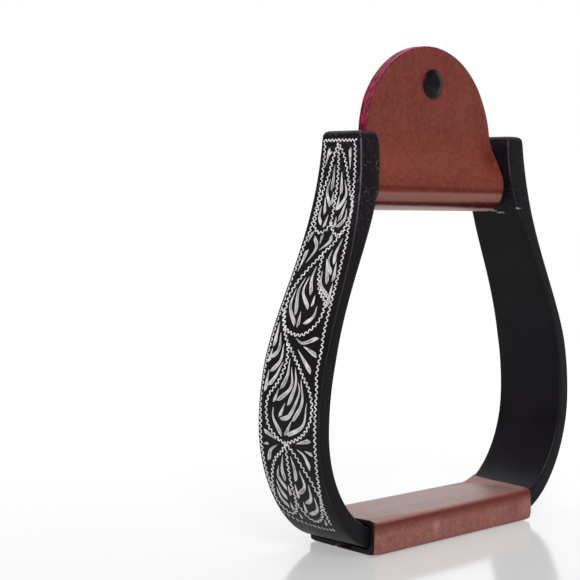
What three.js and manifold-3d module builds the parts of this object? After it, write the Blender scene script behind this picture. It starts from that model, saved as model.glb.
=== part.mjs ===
// A western stirrup: a cast bell-shaped frame, a pinned neck with its riveted leather, and a leather-wrapped tread.
// Millimetres, +Z up. X runs from arm to arm, -Y is the front, and the leather under the tread stands on Z = 0.
import * as THREE from "three";
import { mergeVertices } from "three/addons/utils/BufferGeometryUtils.js";
import Module from "manifold-3d";

// The inside of the bell
const neckGap = 76.2;
const insideWidth = 135.6;
const widestHeight = 48;
const armTopHeight = 154;
const treadFlatLength = 84;

// Walls of the casting
const neckWall = 9.5;
const armWall = 5.9;
const treadWall = 7.2;
const socketWall = 2.6;
const edgeRound = 0.9;
const armTopRound = 1.6;

// Front-to-back depth of the casting
const bodyDepth = 31.2;
const neckDepth = 19.6;
const taperStart = 72;
const taperPower = 1.15;

// Reach of the curve handles that round the lower corners and the shoulders
const outerCornerSide = 16;
const outerCornerRise = 23;
const innerCornerSide = 9.5;
const innerCornerRise = 24;
const outerShoulderLow = 40;
const outerShoulderHigh = 48;
const innerShoulderLow = 50;
const innerShoulderHigh = 33.5;
const neckPinch = 5.5;

// Neck pin, its roller sleeve and the fits between seated pieces
const pinBelowArmTop = 19;
const pinRadius = 4;
const sleeveWall = 2;
const runningGap = 0.35;
const seatGap = 0.3;
const sideGap = 0.45;

// Neck leather
const neckLeatherThickness = 2.2;
const leavesMeetAbovePin = 16;
const leafBendReach = 5;
const flapRadius = 36.2;
const flapCentreAbovePin = 16.6;
const flareHeight = 11;

// Rivet through the two leaves
const rivetAbovePin = 38.6;
const rivetHeadRadius = 5.5;
const rivetDome = 1;
const rivetRim = 0.6;
const rivetShankRadius = 1.3;
const rivetStemWall = 0.7;
const rivetStemDepth = 3;

// Tread leather
const treadLeatherThickness = 2.2;
const treadLeatherLength = 95;
const lapEndFromCentre = 2.6;
const lapLength = 8;
const lapGap = 0.2;

// Facets
const edgeSteps = 2;
const cornerSteps = 12;
const shoulderSteps = 20;
const armTopSteps = 3;
const roundSides = 40;
const foldSteps = 16;

// Heights that follow from the sizes above
const pinHeight = armTopHeight - pinBelowArmTop;
const flapCentreHeight = pinHeight + flapCentreAbovePin;
const rivetHeight = pinHeight + rivetAbovePin;

const black = new THREE.MeshStandardMaterial({ color: 0x121114, roughness: 0.42, metalness: 0.25 });
const steel = new THREE.MeshStandardMaterial({ color: 0x9a9a9c, roughness: 0.35, metalness: 0.9 });
const leather = new THREE.MeshStandardMaterial({ color: 0x7a4034, roughness: 0.55, metalness: 0 });

const wasm = await Module();
wasm.setup();

// A closed geometry as a solid that can be cut and joined
function solidOf(geometry) {
  const bare = geometry.clone();
  bare.deleteAttribute("normal");
  bare.deleteAttribute("uv");
  const merged = mergeVertices(bare, 1e-4);
  return new wasm.Manifold(new wasm.Mesh({
    numProp: 3,
    vertProperties: new Float32Array(merged.attributes.position.array),
    triVerts: new Uint32Array(merged.index.array),
  }));
}

function geometryOf(solid) {
  const mesh = solid.getMesh();
  const geometry = new THREE.BufferGeometry();
  geometry.setAttribute("position", new THREE.BufferAttribute(new Float32Array(mesh.vertProperties), 3));
  geometry.setIndex(new THREE.BufferAttribute(new Uint32Array(mesh.triVerts), 1));
  geometry.computeVertexNormals();
  return geometry;
}

function namedMesh(name, geometry, material) {
  const mesh = new THREE.Mesh(geometry, material.clone());
  mesh.name = name;
  return mesh;
}

// Depth of the casting at a height: full over the bowl of the bell, then drawn in towards the neck
function depthAt(height) {
  const share = THREE.MathUtils.clamp((height - taperStart) / (armTopHeight - taperStart), 0, 1);
  return bodyDepth - (bodyDepth - neckDepth) * share ** taperPower;
}

// One side of the bell's outer or inner outline, as (half width, height), with the tread's end at t = 0
function bellCurves(halfTread, treadHeight, halfWidest, halfNeck, corner, shoulder, pinch) {
  const treadEnd = new THREE.Vector2(halfTread, treadHeight);
  const widest = new THREE.Vector2(halfWidest, widestHeight);
  const neck = new THREE.Vector2(halfNeck, armTopHeight);
  return {
    corner: new THREE.CubicBezierCurve(
      treadEnd,
      new THREE.Vector2(halfTread + corner.side, treadHeight),
      new THREE.Vector2(halfWidest, widestHeight - corner.rise),
      widest,
    ),
    shoulder: new THREE.CubicBezierCurve(
      widest,
      new THREE.Vector2(halfWidest, widestHeight + shoulder.low),
      new THREE.Vector2(halfNeck - pinch, armTopHeight - shoulder.high),
      neck,
    ),
  };
}

const treadUnderside = treadLeatherThickness + seatGap;
const treadTop = treadUnderside + treadWall;

const outerBell = bellCurves(
  treadFlatLength / 2,
  treadUnderside,
  insideWidth / 2 + armWall,
  neckGap / 2 + neckWall,
  { side: outerCornerSide, rise: outerCornerRise },
  { low: outerShoulderLow, high: outerShoulderHigh },
  0,
);
const innerBell = bellCurves(
  treadFlatLength / 2,
  treadTop,
  insideWidth / 2,
  neckGap / 2,
  { side: innerCornerSide, rise: innerCornerRise },
  { low: innerShoulderLow, high: innerShoulderHigh },
  neckPinch,
);

// Where a falling or rising quantity along a curve reaches a value, found by halving
function parameterWhere(curve, measure, value) {
  const rising = measure(curve.getPoint(1)) > measure(curve.getPoint(0));
  let low = 0;
  let high = 1;
  for (let step = 0; step < 40; step += 1) {
    const middle = (low + high) / 2;
    const short = measure(curve.getPoint(middle)) < value;
    if (short === rising) {
      low = middle;
    } else {
      high = middle;
    }
  }
  return (low + high) / 2;
}

function halfWidthAtHeight(bell, height) {
  return bell.shoulder.getPoint(parameterWhere(bell.shoulder, (point) => point.y, height)).x;
}

// A slice through the casting, from its outer outline to its inner one
function sliceAt(part, t) {
  return { outer: outerBell[part].getPoint(t), inner: innerBell[part].getPoint(t) };
}

// The slices of the right half, from the middle of the tread up to the top of the arm
function halfFrameSlices() {
  const slices = [{ outer: new THREE.Vector2(0, treadUnderside), inner: new THREE.Vector2(0, treadTop) }];
  for (let step = 0; step < cornerSteps; step += 1) {
    slices.push(sliceAt("corner", step / cornerSteps));
  }
  for (let step = 0; step < shoulderSteps; step += 1) {
    slices.push(sliceAt("shoulder", step / shoulderSteps));
  }
  return slices;
}

function mirrored(slice) {
  return {
    outer: new THREE.Vector2(-slice.outer.x, slice.outer.y),
    inner: new THREE.Vector2(-slice.inner.x, slice.inner.y),
  };
}

// Both halves in one run, from the left arm to the right one, with the middle slice once
function wholeRun(half) {
  const left = half.slice(1).map(mirrored).reverse();
  return [...left, ...half];
}

// The point of a slice that lies a distance in from the outer outline, at a depth
function pointOnSlice(slice, inward, depth) {
  const direction = slice.inner.clone().sub(slice.outer).normalize();
  const point = slice.outer.clone().addScaledVector(direction, inward);
  return new THREE.Vector3(point.x, depth, point.y);
}

// Skin and end caps over rings of equal counts; the flat outline tells how the caps are filled
function loft(rings, flatOutline) {
  const count = rings[0].length;
  const positions = rings.flat().flatMap((point) => point.toArray());
  const faces = [];
  for (let ring = 0; ring + 1 < rings.length; ring += 1) {
    for (let side = 0; side < count; side += 1) {
      const next = (side + 1) % count;
      const a = ring * count + side;
      const b = ring * count + next;
      faces.push(a, b, a + count, b, b + count, a + count);
    }
  }
  const last = (rings.length - 1) * count;
  for (const [a, b, c] of THREE.ShapeUtils.triangulateShape(flatOutline, [])) {
    faces.push(c, b, a, last + a, last + b, last + c);
  }
  const geometry = new THREE.BufferGeometry();
  geometry.setAttribute("position", new THREE.Float32BufferAttribute(positions, 3));
  geometry.setIndex(faces);
  geometry.computeVertexNormals();
  return geometry;
}

// A quarter turn round a corner as flat points, from one angle to the next
function cornerPoints(centre, radius, startAngle, steps) {
  return Array.from({ length: steps + 1 }, (_, step) => {
    const angle = startAngle + (Math.PI / 2) * (step / steps);
    return new THREE.Vector2(centre.x + radius * Math.cos(angle), centre.y + radius * Math.sin(angle));
  });
}

// A rectangle with rounded corners, anticlockwise from the middle of the front lower corner
function roundedRectangle(low, high, radius, steps) {
  return [
    ...cornerPoints(new THREE.Vector2(low.x + radius, low.y + radius), radius, Math.PI, steps),
    ...cornerPoints(new THREE.Vector2(high.x - radius, low.y + radius), radius, 1.5 * Math.PI, steps),
    ...cornerPoints(new THREE.Vector2(high.x - radius, high.y - radius), radius, 0, steps),
    ...cornerPoints(new THREE.Vector2(low.x + radius, high.y - radius), radius, 0.5 * Math.PI, steps),
  ];
}

// One ring of the casting: a rounded rectangle that keeps the depth of its own height, drawn in by an inset
function castingRing(slice, inset) {
  const wall = slice.outer.distanceTo(slice.inner);
  const outline = roundedRectangle(
    new THREE.Vector2(-1, inset),
    new THREE.Vector2(1, wall - inset),
    edgeRound,
    edgeSteps,
  );
  return outline.map((flat) => {
    const flush = pointOnSlice(slice, flat.y, 0);
    const halfDepth = depthAt(flush.z) / 2 - inset;
    const edge = flat.x < 0 ? flat.x + 1 : flat.x - 1;
    flush.y = Math.sign(flat.x) * halfDepth + edge;
    return flush;
  });
}

// The rings that round an arm off at its top, from its last full ring up to its flat end
function armTopRings(top) {
  return Array.from({ length: armTopSteps + 1 }, (_, step) => {
    const angle = (Math.PI / 2) * (step / armTopSteps);
    const height = armTopHeight - armTopRound * (1 - Math.sin(angle));
    const slice = {
      outer: new THREE.Vector2(top.outer.x, height),
      inner: new THREE.Vector2(top.inner.x, height),
    };
    return castingRing(slice, armTopRound * (1 - Math.cos(angle)));
  });
}

// The cast frame: bell-shaped arms and the bar of the tread in one piece, with a blind socket in each arm for the pin
function makeFrame() {
  const top = sliceAt("shoulder", 1);
  const rings = [
    ...armTopRings(mirrored(top)).reverse(),
    ...wholeRun(halfFrameSlices()).map((slice) => castingRing(slice, 0)),
    ...armTopRings(top),
  ];
  const flatOutline = roundedRectangle(
    new THREE.Vector2(-neckDepth / 2, 0),
    new THREE.Vector2(neckDepth / 2, neckWall),
    edgeRound,
    edgeSteps,
  );
  let casting = solidOf(loft(rings, flatOutline));
  for (const side of [-1, 1]) {
    casting = casting.subtract(solidOf(socketCore(side)));
  }
  return geometryOf(casting);
}

const socketEnd = halfWidthAtHeight(outerBell, pinHeight) - socketWall;

// What the casting leaves open for one end of the pin
function socketCore(side) {
  const innerFace = halfWidthAtHeight(innerBell, pinHeight);
  const pastTheFace = neckWall;
  const length = socketEnd - innerFace + pastTheFace;
  const core = new THREE.CylinderGeometry(pinRadius + seatGap, pinRadius + seatGap, length, roundSides);
  core.rotateZ(Math.PI / 2);
  core.translate(side * (socketEnd - length / 2), 0, pinHeight);
  return core;
}

function makeNeckPin() {
  const pin = new THREE.CylinderGeometry(pinRadius, pinRadius, 2 * (socketEnd - seatGap), roundSides);
  pin.rotateZ(Math.PI / 2);
  pin.translate(0, 0, pinHeight);
  return pin;
}

const sleeveBore = pinRadius + runningGap;
const sleeveRadius = sleeveBore + sleeveWall;
const rollBore = sleeveRadius + runningGap;
const rollRadius = rollBore + neckLeatherThickness;

// The least half gap between the arms over the heights that a turning piece of this radius reaches
function leastHalfGap(reach) {
  const samples = 24;
  let least = Infinity;
  for (let step = 0; step <= samples; step += 1) {
    const height = Math.min(pinHeight + reach * (step / samples), armTopHeight);
    least = Math.min(least, halfWidthAtHeight(innerBell, height));
  }
  return least;
}

function makeNeckSleeve() {
  const half = leastHalfGap(sleeveRadius) - sideGap;
  const profile = [
    new THREE.Vector2(sleeveBore, -half),
    new THREE.Vector2(sleeveRadius, -half),
    new THREE.Vector2(sleeveRadius, half),
    new THREE.Vector2(sleeveBore, half),
    new THREE.Vector2(sleeveBore, -half),
  ];
  const sleeve = new THREE.LatheGeometry(profile, roundSides);
  sleeve.rotateZ(Math.PI / 2);
  sleeve.translate(0, 0, pinHeight);
  return sleeve;
}

const armTopAbovePin = armTopHeight - pinHeight;
const rollHalfWidth = leastHalfGap(armTopAbovePin) - sideGap;
const flapTop = flapCentreHeight + flapRadius;

// The neck leather from its side, about the pin: a roll round the sleeve that closes into two leaves
function foldedStripOutline() {
  const tangentAngle = Math.acos(rollBore / leavesMeetAbovePin);
  const across = Math.sin(tangentAngle);
  const along = Math.cos(tangentAngle);
  const leafTop = flapTop - pinHeight + neckLeatherThickness;
  const bendHeight = (rollRadius - neckLeatherThickness * across) / along;
  const bendEntry = new THREE.Vector2(
    neckLeatherThickness + leafBendReach * along,
    bendHeight - leafBendReach * across,
  );
  const outline = new THREE.Shape();
  outline.moveTo(neckLeatherThickness, leafTop);
  outline.lineTo(-neckLeatherThickness, leafTop);
  outline.lineTo(-neckLeatherThickness, bendHeight + leafBendReach);
  outline.quadraticCurveTo(-neckLeatherThickness, bendHeight, -bendEntry.x, bendEntry.y);
  outline.absarc(0, 0, rollRadius, Math.PI / 2 + tangentAngle, 2.5 * Math.PI - tangentAngle, false);
  outline.lineTo(bendEntry.x, bendEntry.y);
  outline.quadraticCurveTo(neckLeatherThickness, bendHeight, neckLeatherThickness, bendHeight + leafBendReach);
  const bore = new THREE.Path();
  bore.moveTo(0, leavesMeetAbovePin);
  bore.lineTo(-rollBore * across, rollBore * along);
  bore.absarc(0, 0, rollBore, Math.PI / 2 + tangentAngle, 2.5 * Math.PI - tangentAngle, false);
  bore.closePath();
  outline.holes.push(bore);
  return outline;
}

// The neck leather from the front: as wide as the gap at the roll, drawn in above it, with a round top
function flapOutline() {
  const flareTop = flapCentreHeight;
  const flareLow = flareTop - flareHeight;
  const bottom = pinHeight - rollRadius - neckLeatherThickness;
  const outline = new THREE.Shape();
  outline.moveTo(-rollHalfWidth, bottom);
  outline.lineTo(rollHalfWidth, bottom);
  outline.lineTo(rollHalfWidth, flareLow);
  outline.bezierCurveTo(
    rollHalfWidth, flareLow + flareHeight / 2,
    flapRadius, flareTop - flareHeight / 2,
    flapRadius, flareTop,
  );
  outline.absarc(0, flapCentreHeight, flapRadius, 0, Math.PI, false);
  outline.bezierCurveTo(
    -flapRadius, flareTop - flareHeight / 2,
    -rollHalfWidth, flareLow + flareHeight / 2,
    -rollHalfWidth, flareLow,
  );
  return outline;
}

const rivetStemRadius = rivetShankRadius + seatGap + rivetStemWall;

function makeNeckLeather() {
  const spare = 2;
  const stripWidth = 2 * (rollHalfWidth + spare);
  const strip = new THREE.ExtrudeGeometry(foldedStripOutline(), {
    depth: stripWidth,
    bevelEnabled: false,
    curveSegments: foldSteps,
  });
  strip.translate(0, 0, -stripWidth / 2);
  strip.applyMatrix4(new THREE.Matrix4().makeBasis(
    new THREE.Vector3(0, 1, 0),
    new THREE.Vector3(0, 0, 1),
    new THREE.Vector3(1, 0, 0),
  ));
  strip.translate(0, 0, pinHeight);
  const cutterDepth = 2 * (rollRadius + spare);
  const cutter = new THREE.ExtrudeGeometry(flapOutline(), {
    depth: cutterDepth,
    bevelEnabled: false,
    curveSegments: foldSteps * 2,
  });
  cutter.rotateX(Math.PI / 2);
  cutter.translate(0, cutterDepth / 2, 0);
  const holeRadius = rivetStemRadius + seatGap;
  const hole = new THREE.CylinderGeometry(holeRadius, holeRadius, cutterDepth, foldSteps);
  hole.translate(0, 0, rivetHeight);
  return geometryOf(solidOf(strip).intersect(solidOf(cutter)).subtract(solidOf(hole)));
}

// A low round head on the axis, from its crown to its rim's underside
function rivetHeadProfile(seat) {
  const steps = 6;
  return Array.from({ length: steps + 1 }, (_, step) => {
    const angle = (Math.PI / 2) * (step / steps);
    return new THREE.Vector2(
      rivetHeadRadius * Math.sin(angle),
      seat + rivetRim + rivetDome * Math.cos(angle),
    );
  }).concat([new THREE.Vector2(rivetHeadRadius, seat)]);
}

const rivetSeat = neckLeatherThickness + seatGap;

// The front cap of the rivet, with the hollow stem that takes the shank
function makeRivetCap() {
  const stemEnd = rivetSeat - rivetStemDepth;
  const profile = [
    ...rivetHeadProfile(rivetSeat),
    new THREE.Vector2(rivetStemRadius, rivetSeat),
    new THREE.Vector2(rivetStemRadius, stemEnd),
    new THREE.Vector2(rivetShankRadius + seatGap, stemEnd),
    new THREE.Vector2(rivetShankRadius + seatGap, rivetSeat),
    new THREE.Vector2(0, rivetSeat),
  ];
  const cap = new THREE.LatheGeometry(profile.reverse(), foldSteps * 2);
  cap.rotateX(Math.PI);
  cap.translate(0, 0, rivetHeight);
  return cap;
}

// The back head of the rivet and its shank, which ends inside the cap's stem
function makeRivetPost() {
  const shankEnd = -(rivetSeat - seatGap);
  const profile = [
    ...rivetHeadProfile(rivetSeat),
    new THREE.Vector2(rivetShankRadius, rivetSeat),
    new THREE.Vector2(rivetShankRadius, shankEnd),
    new THREE.Vector2(0, shankEnd),
  ];
  const post = new THREE.LatheGeometry(profile.reverse(), foldSteps * 2);
  post.translate(0, 0, rivetHeight);
  return post;
}

// The tread leather in section: wrapped round the bar, with its thinned ends lapped under the tread
function wrapOutline(wall) {
  const round = 5;
  const half = bodyDepth / 2;
  const skin = seatGap + treadLeatherThickness;
  const middle = -seatGap - treadLeatherThickness / 2;
  const lapStart = lapEndFromCentre - lapLength;
  const near = roundedRectangle(
    new THREE.Vector2(-half - seatGap, -seatGap),
    new THREE.Vector2(half + seatGap, wall + seatGap),
    edgeRound + seatGap,
    round,
  );
  const far = roundedRectangle(
    new THREE.Vector2(-half - skin, -skin),
    new THREE.Vector2(half + skin, wall + skin),
    edgeRound + skin,
    round,
  );
  const frontCorner = round + 1;
  const inside = [...near.slice(frontCorner), ...near.slice(0, frontCorner)];
  const outside = [...far.slice(frontCorner), ...far.slice(0, frontCorner)].reverse();
  return [
    new THREE.Vector2(lapStart, -seatGap),
    ...inside,
    new THREE.Vector2(lapStart - lapGap, -seatGap),
    new THREE.Vector2(lapStart - lapGap, middle - lapGap / 2),
    new THREE.Vector2(lapEndFromCentre - lapGap, middle - lapGap / 2),
    new THREE.Vector2(lapEndFromCentre - lapGap, -skin),
    ...outside,
    new THREE.Vector2(lapEndFromCentre, -skin),
    new THREE.Vector2(lapEndFromCentre, middle + lapGap / 2),
    new THREE.Vector2(lapStart, middle + lapGap / 2),
  ].reverse();
}

function makeTreadLeather() {
  const endSteps = 4;
  const end = parameterWhere(outerBell.corner, (point) => point.x, treadLeatherLength / 2);
  const half = [{ outer: new THREE.Vector2(0, treadUnderside), inner: new THREE.Vector2(0, treadTop) }];
  for (let step = 0; step <= endSteps; step += 1) {
    half.push(sliceAt("corner", end * (step / endSteps)));
  }
  const rings = wholeRun(half).map((slice) => {
    const outline = wrapOutline(slice.outer.distanceTo(slice.inner));
    return outline.map((flat) => pointOnSlice(slice, flat.y, flat.x));
  });
  return loft(rings, wrapOutline(treadWall));
}

const stirrup = new THREE.Group();
stirrup.name = "western_stirrup";
stirrup.add(
  namedMesh("frame", makeFrame(), black),
  namedMesh("neck_pin", makeNeckPin(), steel),
  namedMesh("neck_sleeve", makeNeckSleeve(), steel),
  namedMesh("neck_leather", makeNeckLeather(), leather),
  namedMesh("rivet_post", makeRivetPost(), black),
  namedMesh("rivet_cap", makeRivetCap(), black),
  namedMesh("tread_leather", makeTreadLeather(), leather),
);

export default stirrup;
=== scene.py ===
"""A western stirrup: a cast bell with one engraved arm, its riveted neck leather, and a wrapped tread.

Everything is in metres with +Z up. X runs from arm to arm, -Y is the front, and the tread's leather
stands on Z = 0.
"""

from __future__ import annotations

import logging
import math
from dataclasses import dataclass, field
from enum import Enum
from typing import Callable, Sequence

import bmesh
import bpy
import numpy as np
from mathutils import Matrix, Vector, noise


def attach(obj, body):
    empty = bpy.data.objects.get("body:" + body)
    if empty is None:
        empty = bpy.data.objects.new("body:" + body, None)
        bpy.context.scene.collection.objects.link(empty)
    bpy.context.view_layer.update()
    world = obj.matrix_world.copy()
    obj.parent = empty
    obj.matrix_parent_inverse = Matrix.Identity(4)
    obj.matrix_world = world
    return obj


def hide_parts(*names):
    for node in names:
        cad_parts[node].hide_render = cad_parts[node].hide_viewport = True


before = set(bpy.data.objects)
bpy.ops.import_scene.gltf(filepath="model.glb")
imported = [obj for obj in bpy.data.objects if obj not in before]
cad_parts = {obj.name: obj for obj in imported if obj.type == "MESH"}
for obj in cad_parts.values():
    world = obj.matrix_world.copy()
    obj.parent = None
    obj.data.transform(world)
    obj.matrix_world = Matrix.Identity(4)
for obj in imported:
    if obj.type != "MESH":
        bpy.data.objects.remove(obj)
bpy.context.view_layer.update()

MM = 0.001
DOUBLES_WITHIN = 1e-6
NO_LENGTH = 1e-7
LEAST_LENGTH = 1e-12
SAME_PLACE_DIGITS = 6
SPLINE_STEPS = 12
WHITE = (1, 1, 1, 1)

log = logging.getLogger("stirrup")

Point2 = tuple[float, float]
Path2 = tuple[Point2, ...]
Paths = tuple[Path2, ...]
Triple = tuple[float, float, float]
Range = tuple[float, float]
Cut = tuple[np.ndarray, list[list[int]], list[int]]


class Body(Enum):
    """The moving bodies that the pieces ride on."""

    STIRRUP = "stirrup"
    ROLLER = "roller"
    FLAP = "flap"


class Slot(Enum):
    """The record's material slots."""

    CASTING = "black_casting"
    STEEL = "bare_steel"
    LEATHER = "brown_leather"
    RIVET = "black_rivet"


# Helpers for numbers and meshes


def clamp(value: float) -> float:
    """The value held between 0 and 1."""
    return min(max(value, 0.0), 1.0)


def eased(value: float) -> float:
    """A soft step from 0 to 1."""
    share = clamp(value)
    return share * share * (3 - 2 * share)


def lengths_along(line: np.ndarray) -> np.ndarray:
    """The distance along a line at each of its points."""
    return np.concatenate([[0], np.cumsum(np.linalg.norm(np.diff(line, axis=0), axis=1))])


def unit(vector: np.ndarray) -> np.ndarray:
    """The vectors along the last axis at length one."""
    length = np.linalg.norm(vector, axis=-1, keepdims=True)
    return vector / np.maximum(length, LEAST_LENGTH)


def bezier(points: Sequence[Point2], share: np.ndarray | float) -> np.ndarray:
    """Points of a cubic curve.

    Args:
        points: the curve's four control points.
        share: how far along the curve, from 0 to 1.

    Returns:
        One flat point for each share.
    """
    t = np.atleast_1d(np.asarray(share, float))[:, None]
    a, b, c, d = (np.asarray(point, float) for point in points)
    return a * (1 - t) ** 3 + 3 * b * t * (1 - t) ** 2 + 3 * c * t**2 * (1 - t) + d * t**3


def smooth_path(points: Sequence[Point2] | np.ndarray, steps: int) -> np.ndarray:
    """A smooth line through a few flat points, evenly stepped along its length.

    Args:
        points: the points that the line passes.
        steps: the number of points wanted.

    Returns:
        The points of the line.
    """
    knots = np.asarray(points, float)
    if len(knots) == 2:
        return knots[0] + np.linspace(0, 1, steps)[:, None] * (knots[1] - knots[0])
    padded = np.vstack([2 * knots[0] - knots[1], knots, 2 * knots[-1] - knots[-2]])
    fine = []
    for first in range(len(knots) - 1):
        a, b, c, d = padded[first : first + 4]
        t = np.linspace(0, 1, SPLINE_STEPS, endpoint=False)[:, None]
        square, cube = 2 * a - 5 * b + 4 * c - d, 3 * b - a - 3 * c + d
        fine.append(0.5 * (2 * b + (c - a) * t + square * t**2 + cube * t**3))
    line = np.vstack([*fine, knots[-1]])
    return even_steps(line, steps)


def even_steps(line: np.ndarray, steps: int) -> np.ndarray:
    """The same line with its points at even distances.

    Args:
        line: the line's points.
        steps: the number of points wanted.

    Returns:
        The new points.
    """
    reach = lengths_along(line)
    wanted = np.linspace(0, reach[-1], steps)
    return np.column_stack([np.interp(wanted, reach, line[:, axis]) for axis in range(line.shape[1])])


def finish_mesh(
    name: str,
    points: np.ndarray,
    faces: Sequence[Sequence[int]],
    finishes: Sequence[bpy.types.Material],
    finish_of_face: Sequence[int] | None = None,
) -> bpy.types.Object:
    """A new smooth object from points and faces, with doubles merged and its faces turned outwards.

    Args:
        name: the piece's name.
        points: its points in metres.
        faces: its faces as lists of point numbers.
        finishes: the materials it wears.
        finish_of_face: which of them each face wears.

    Returns:
        The linked object.
    """
    mesh = bpy.data.meshes.new(name)
    mesh.from_pydata([tuple(point) for point in points], [], [tuple(face) for face in faces])
    for finish in finishes:
        mesh.materials.append(finish)
    if finish_of_face is not None:
        mesh.polygons.foreach_set("material_index", list(finish_of_face))
    body = bmesh.new()
    body.from_mesh(mesh)
    bmesh.ops.remove_doubles(body, verts=body.verts, dist=DOUBLES_WITHIN)
    bmesh.ops.dissolve_degenerate(body, edges=body.edges, dist=NO_LENGTH)
    bmesh.ops.recalc_face_normals(body, faces=body.faces)
    for face in body.faces:
        face.smooth = True
    body.to_mesh(mesh)
    body.free()
    made = bpy.data.objects.new(name, mesh)
    bpy.context.scene.collection.objects.link(made)
    return made


def ring_faces(rings: int, count: int, capped: bool = True) -> list[list[int]]:
    """Faces of a tube of closed rings.

    Args:
        rings: how many rings follow each other.
        count: how many points each ring has.
        capped: whether the first and last ring are filled.

    Returns:
        The faces as lists of point numbers.
    """
    faces = []
    for ring in range(rings - 1):
        for side in range(count):
            after = (side + 1) % count
            a, b = ring * count + side, ring * count + after
            faces.append([a, b, b + count, a + count])
    if capped:
        last = (rings - 1) * count
        faces.append(list(range(count))[::-1])
        faces.append([last + side for side in range(count)])
    return faces


def lathe(
    name: str,
    profile: Sequence[Point2],
    finish: bpy.types.Material,
    placed: Matrix,
    sides: int = 64,
) -> bpy.types.Object:
    """A turned piece.

    Args:
        name: the piece's name.
        profile: points (radius, height) along the local Z axis, from one end to the other.
        finish: its material.
        placed: where its local frame stands.
        sides: how many sides it is turned with.

    Returns:
        The linked object.
    """
    angles = np.linspace(0, 2 * math.pi, sides, endpoint=False)
    points = []
    for radius, height in profile:
        for angle in angles:
            points.append(placed @ Vector((radius * math.cos(angle), radius * math.sin(angle), height)))
    faces = ring_faces(len(profile), sides, capped=False)
    return finish_mesh(name, np.array([tuple(point) for point in points]), faces, [finish])


# Helpers for materials


@dataclass(frozen=True)
class Cloud:
    """A cloudy mask: noise with so many features a metre, stretched so that low is 0 and high is 1."""

    scale: float
    detail: float
    rough: float
    low: float
    high: float


@dataclass(frozen=True)
class Grain:
    """Fine noise that roughens a surface by bump."""

    scale: float
    detail: float
    rough: float
    strength: float
    distance: float = 0.1 * MM


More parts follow.
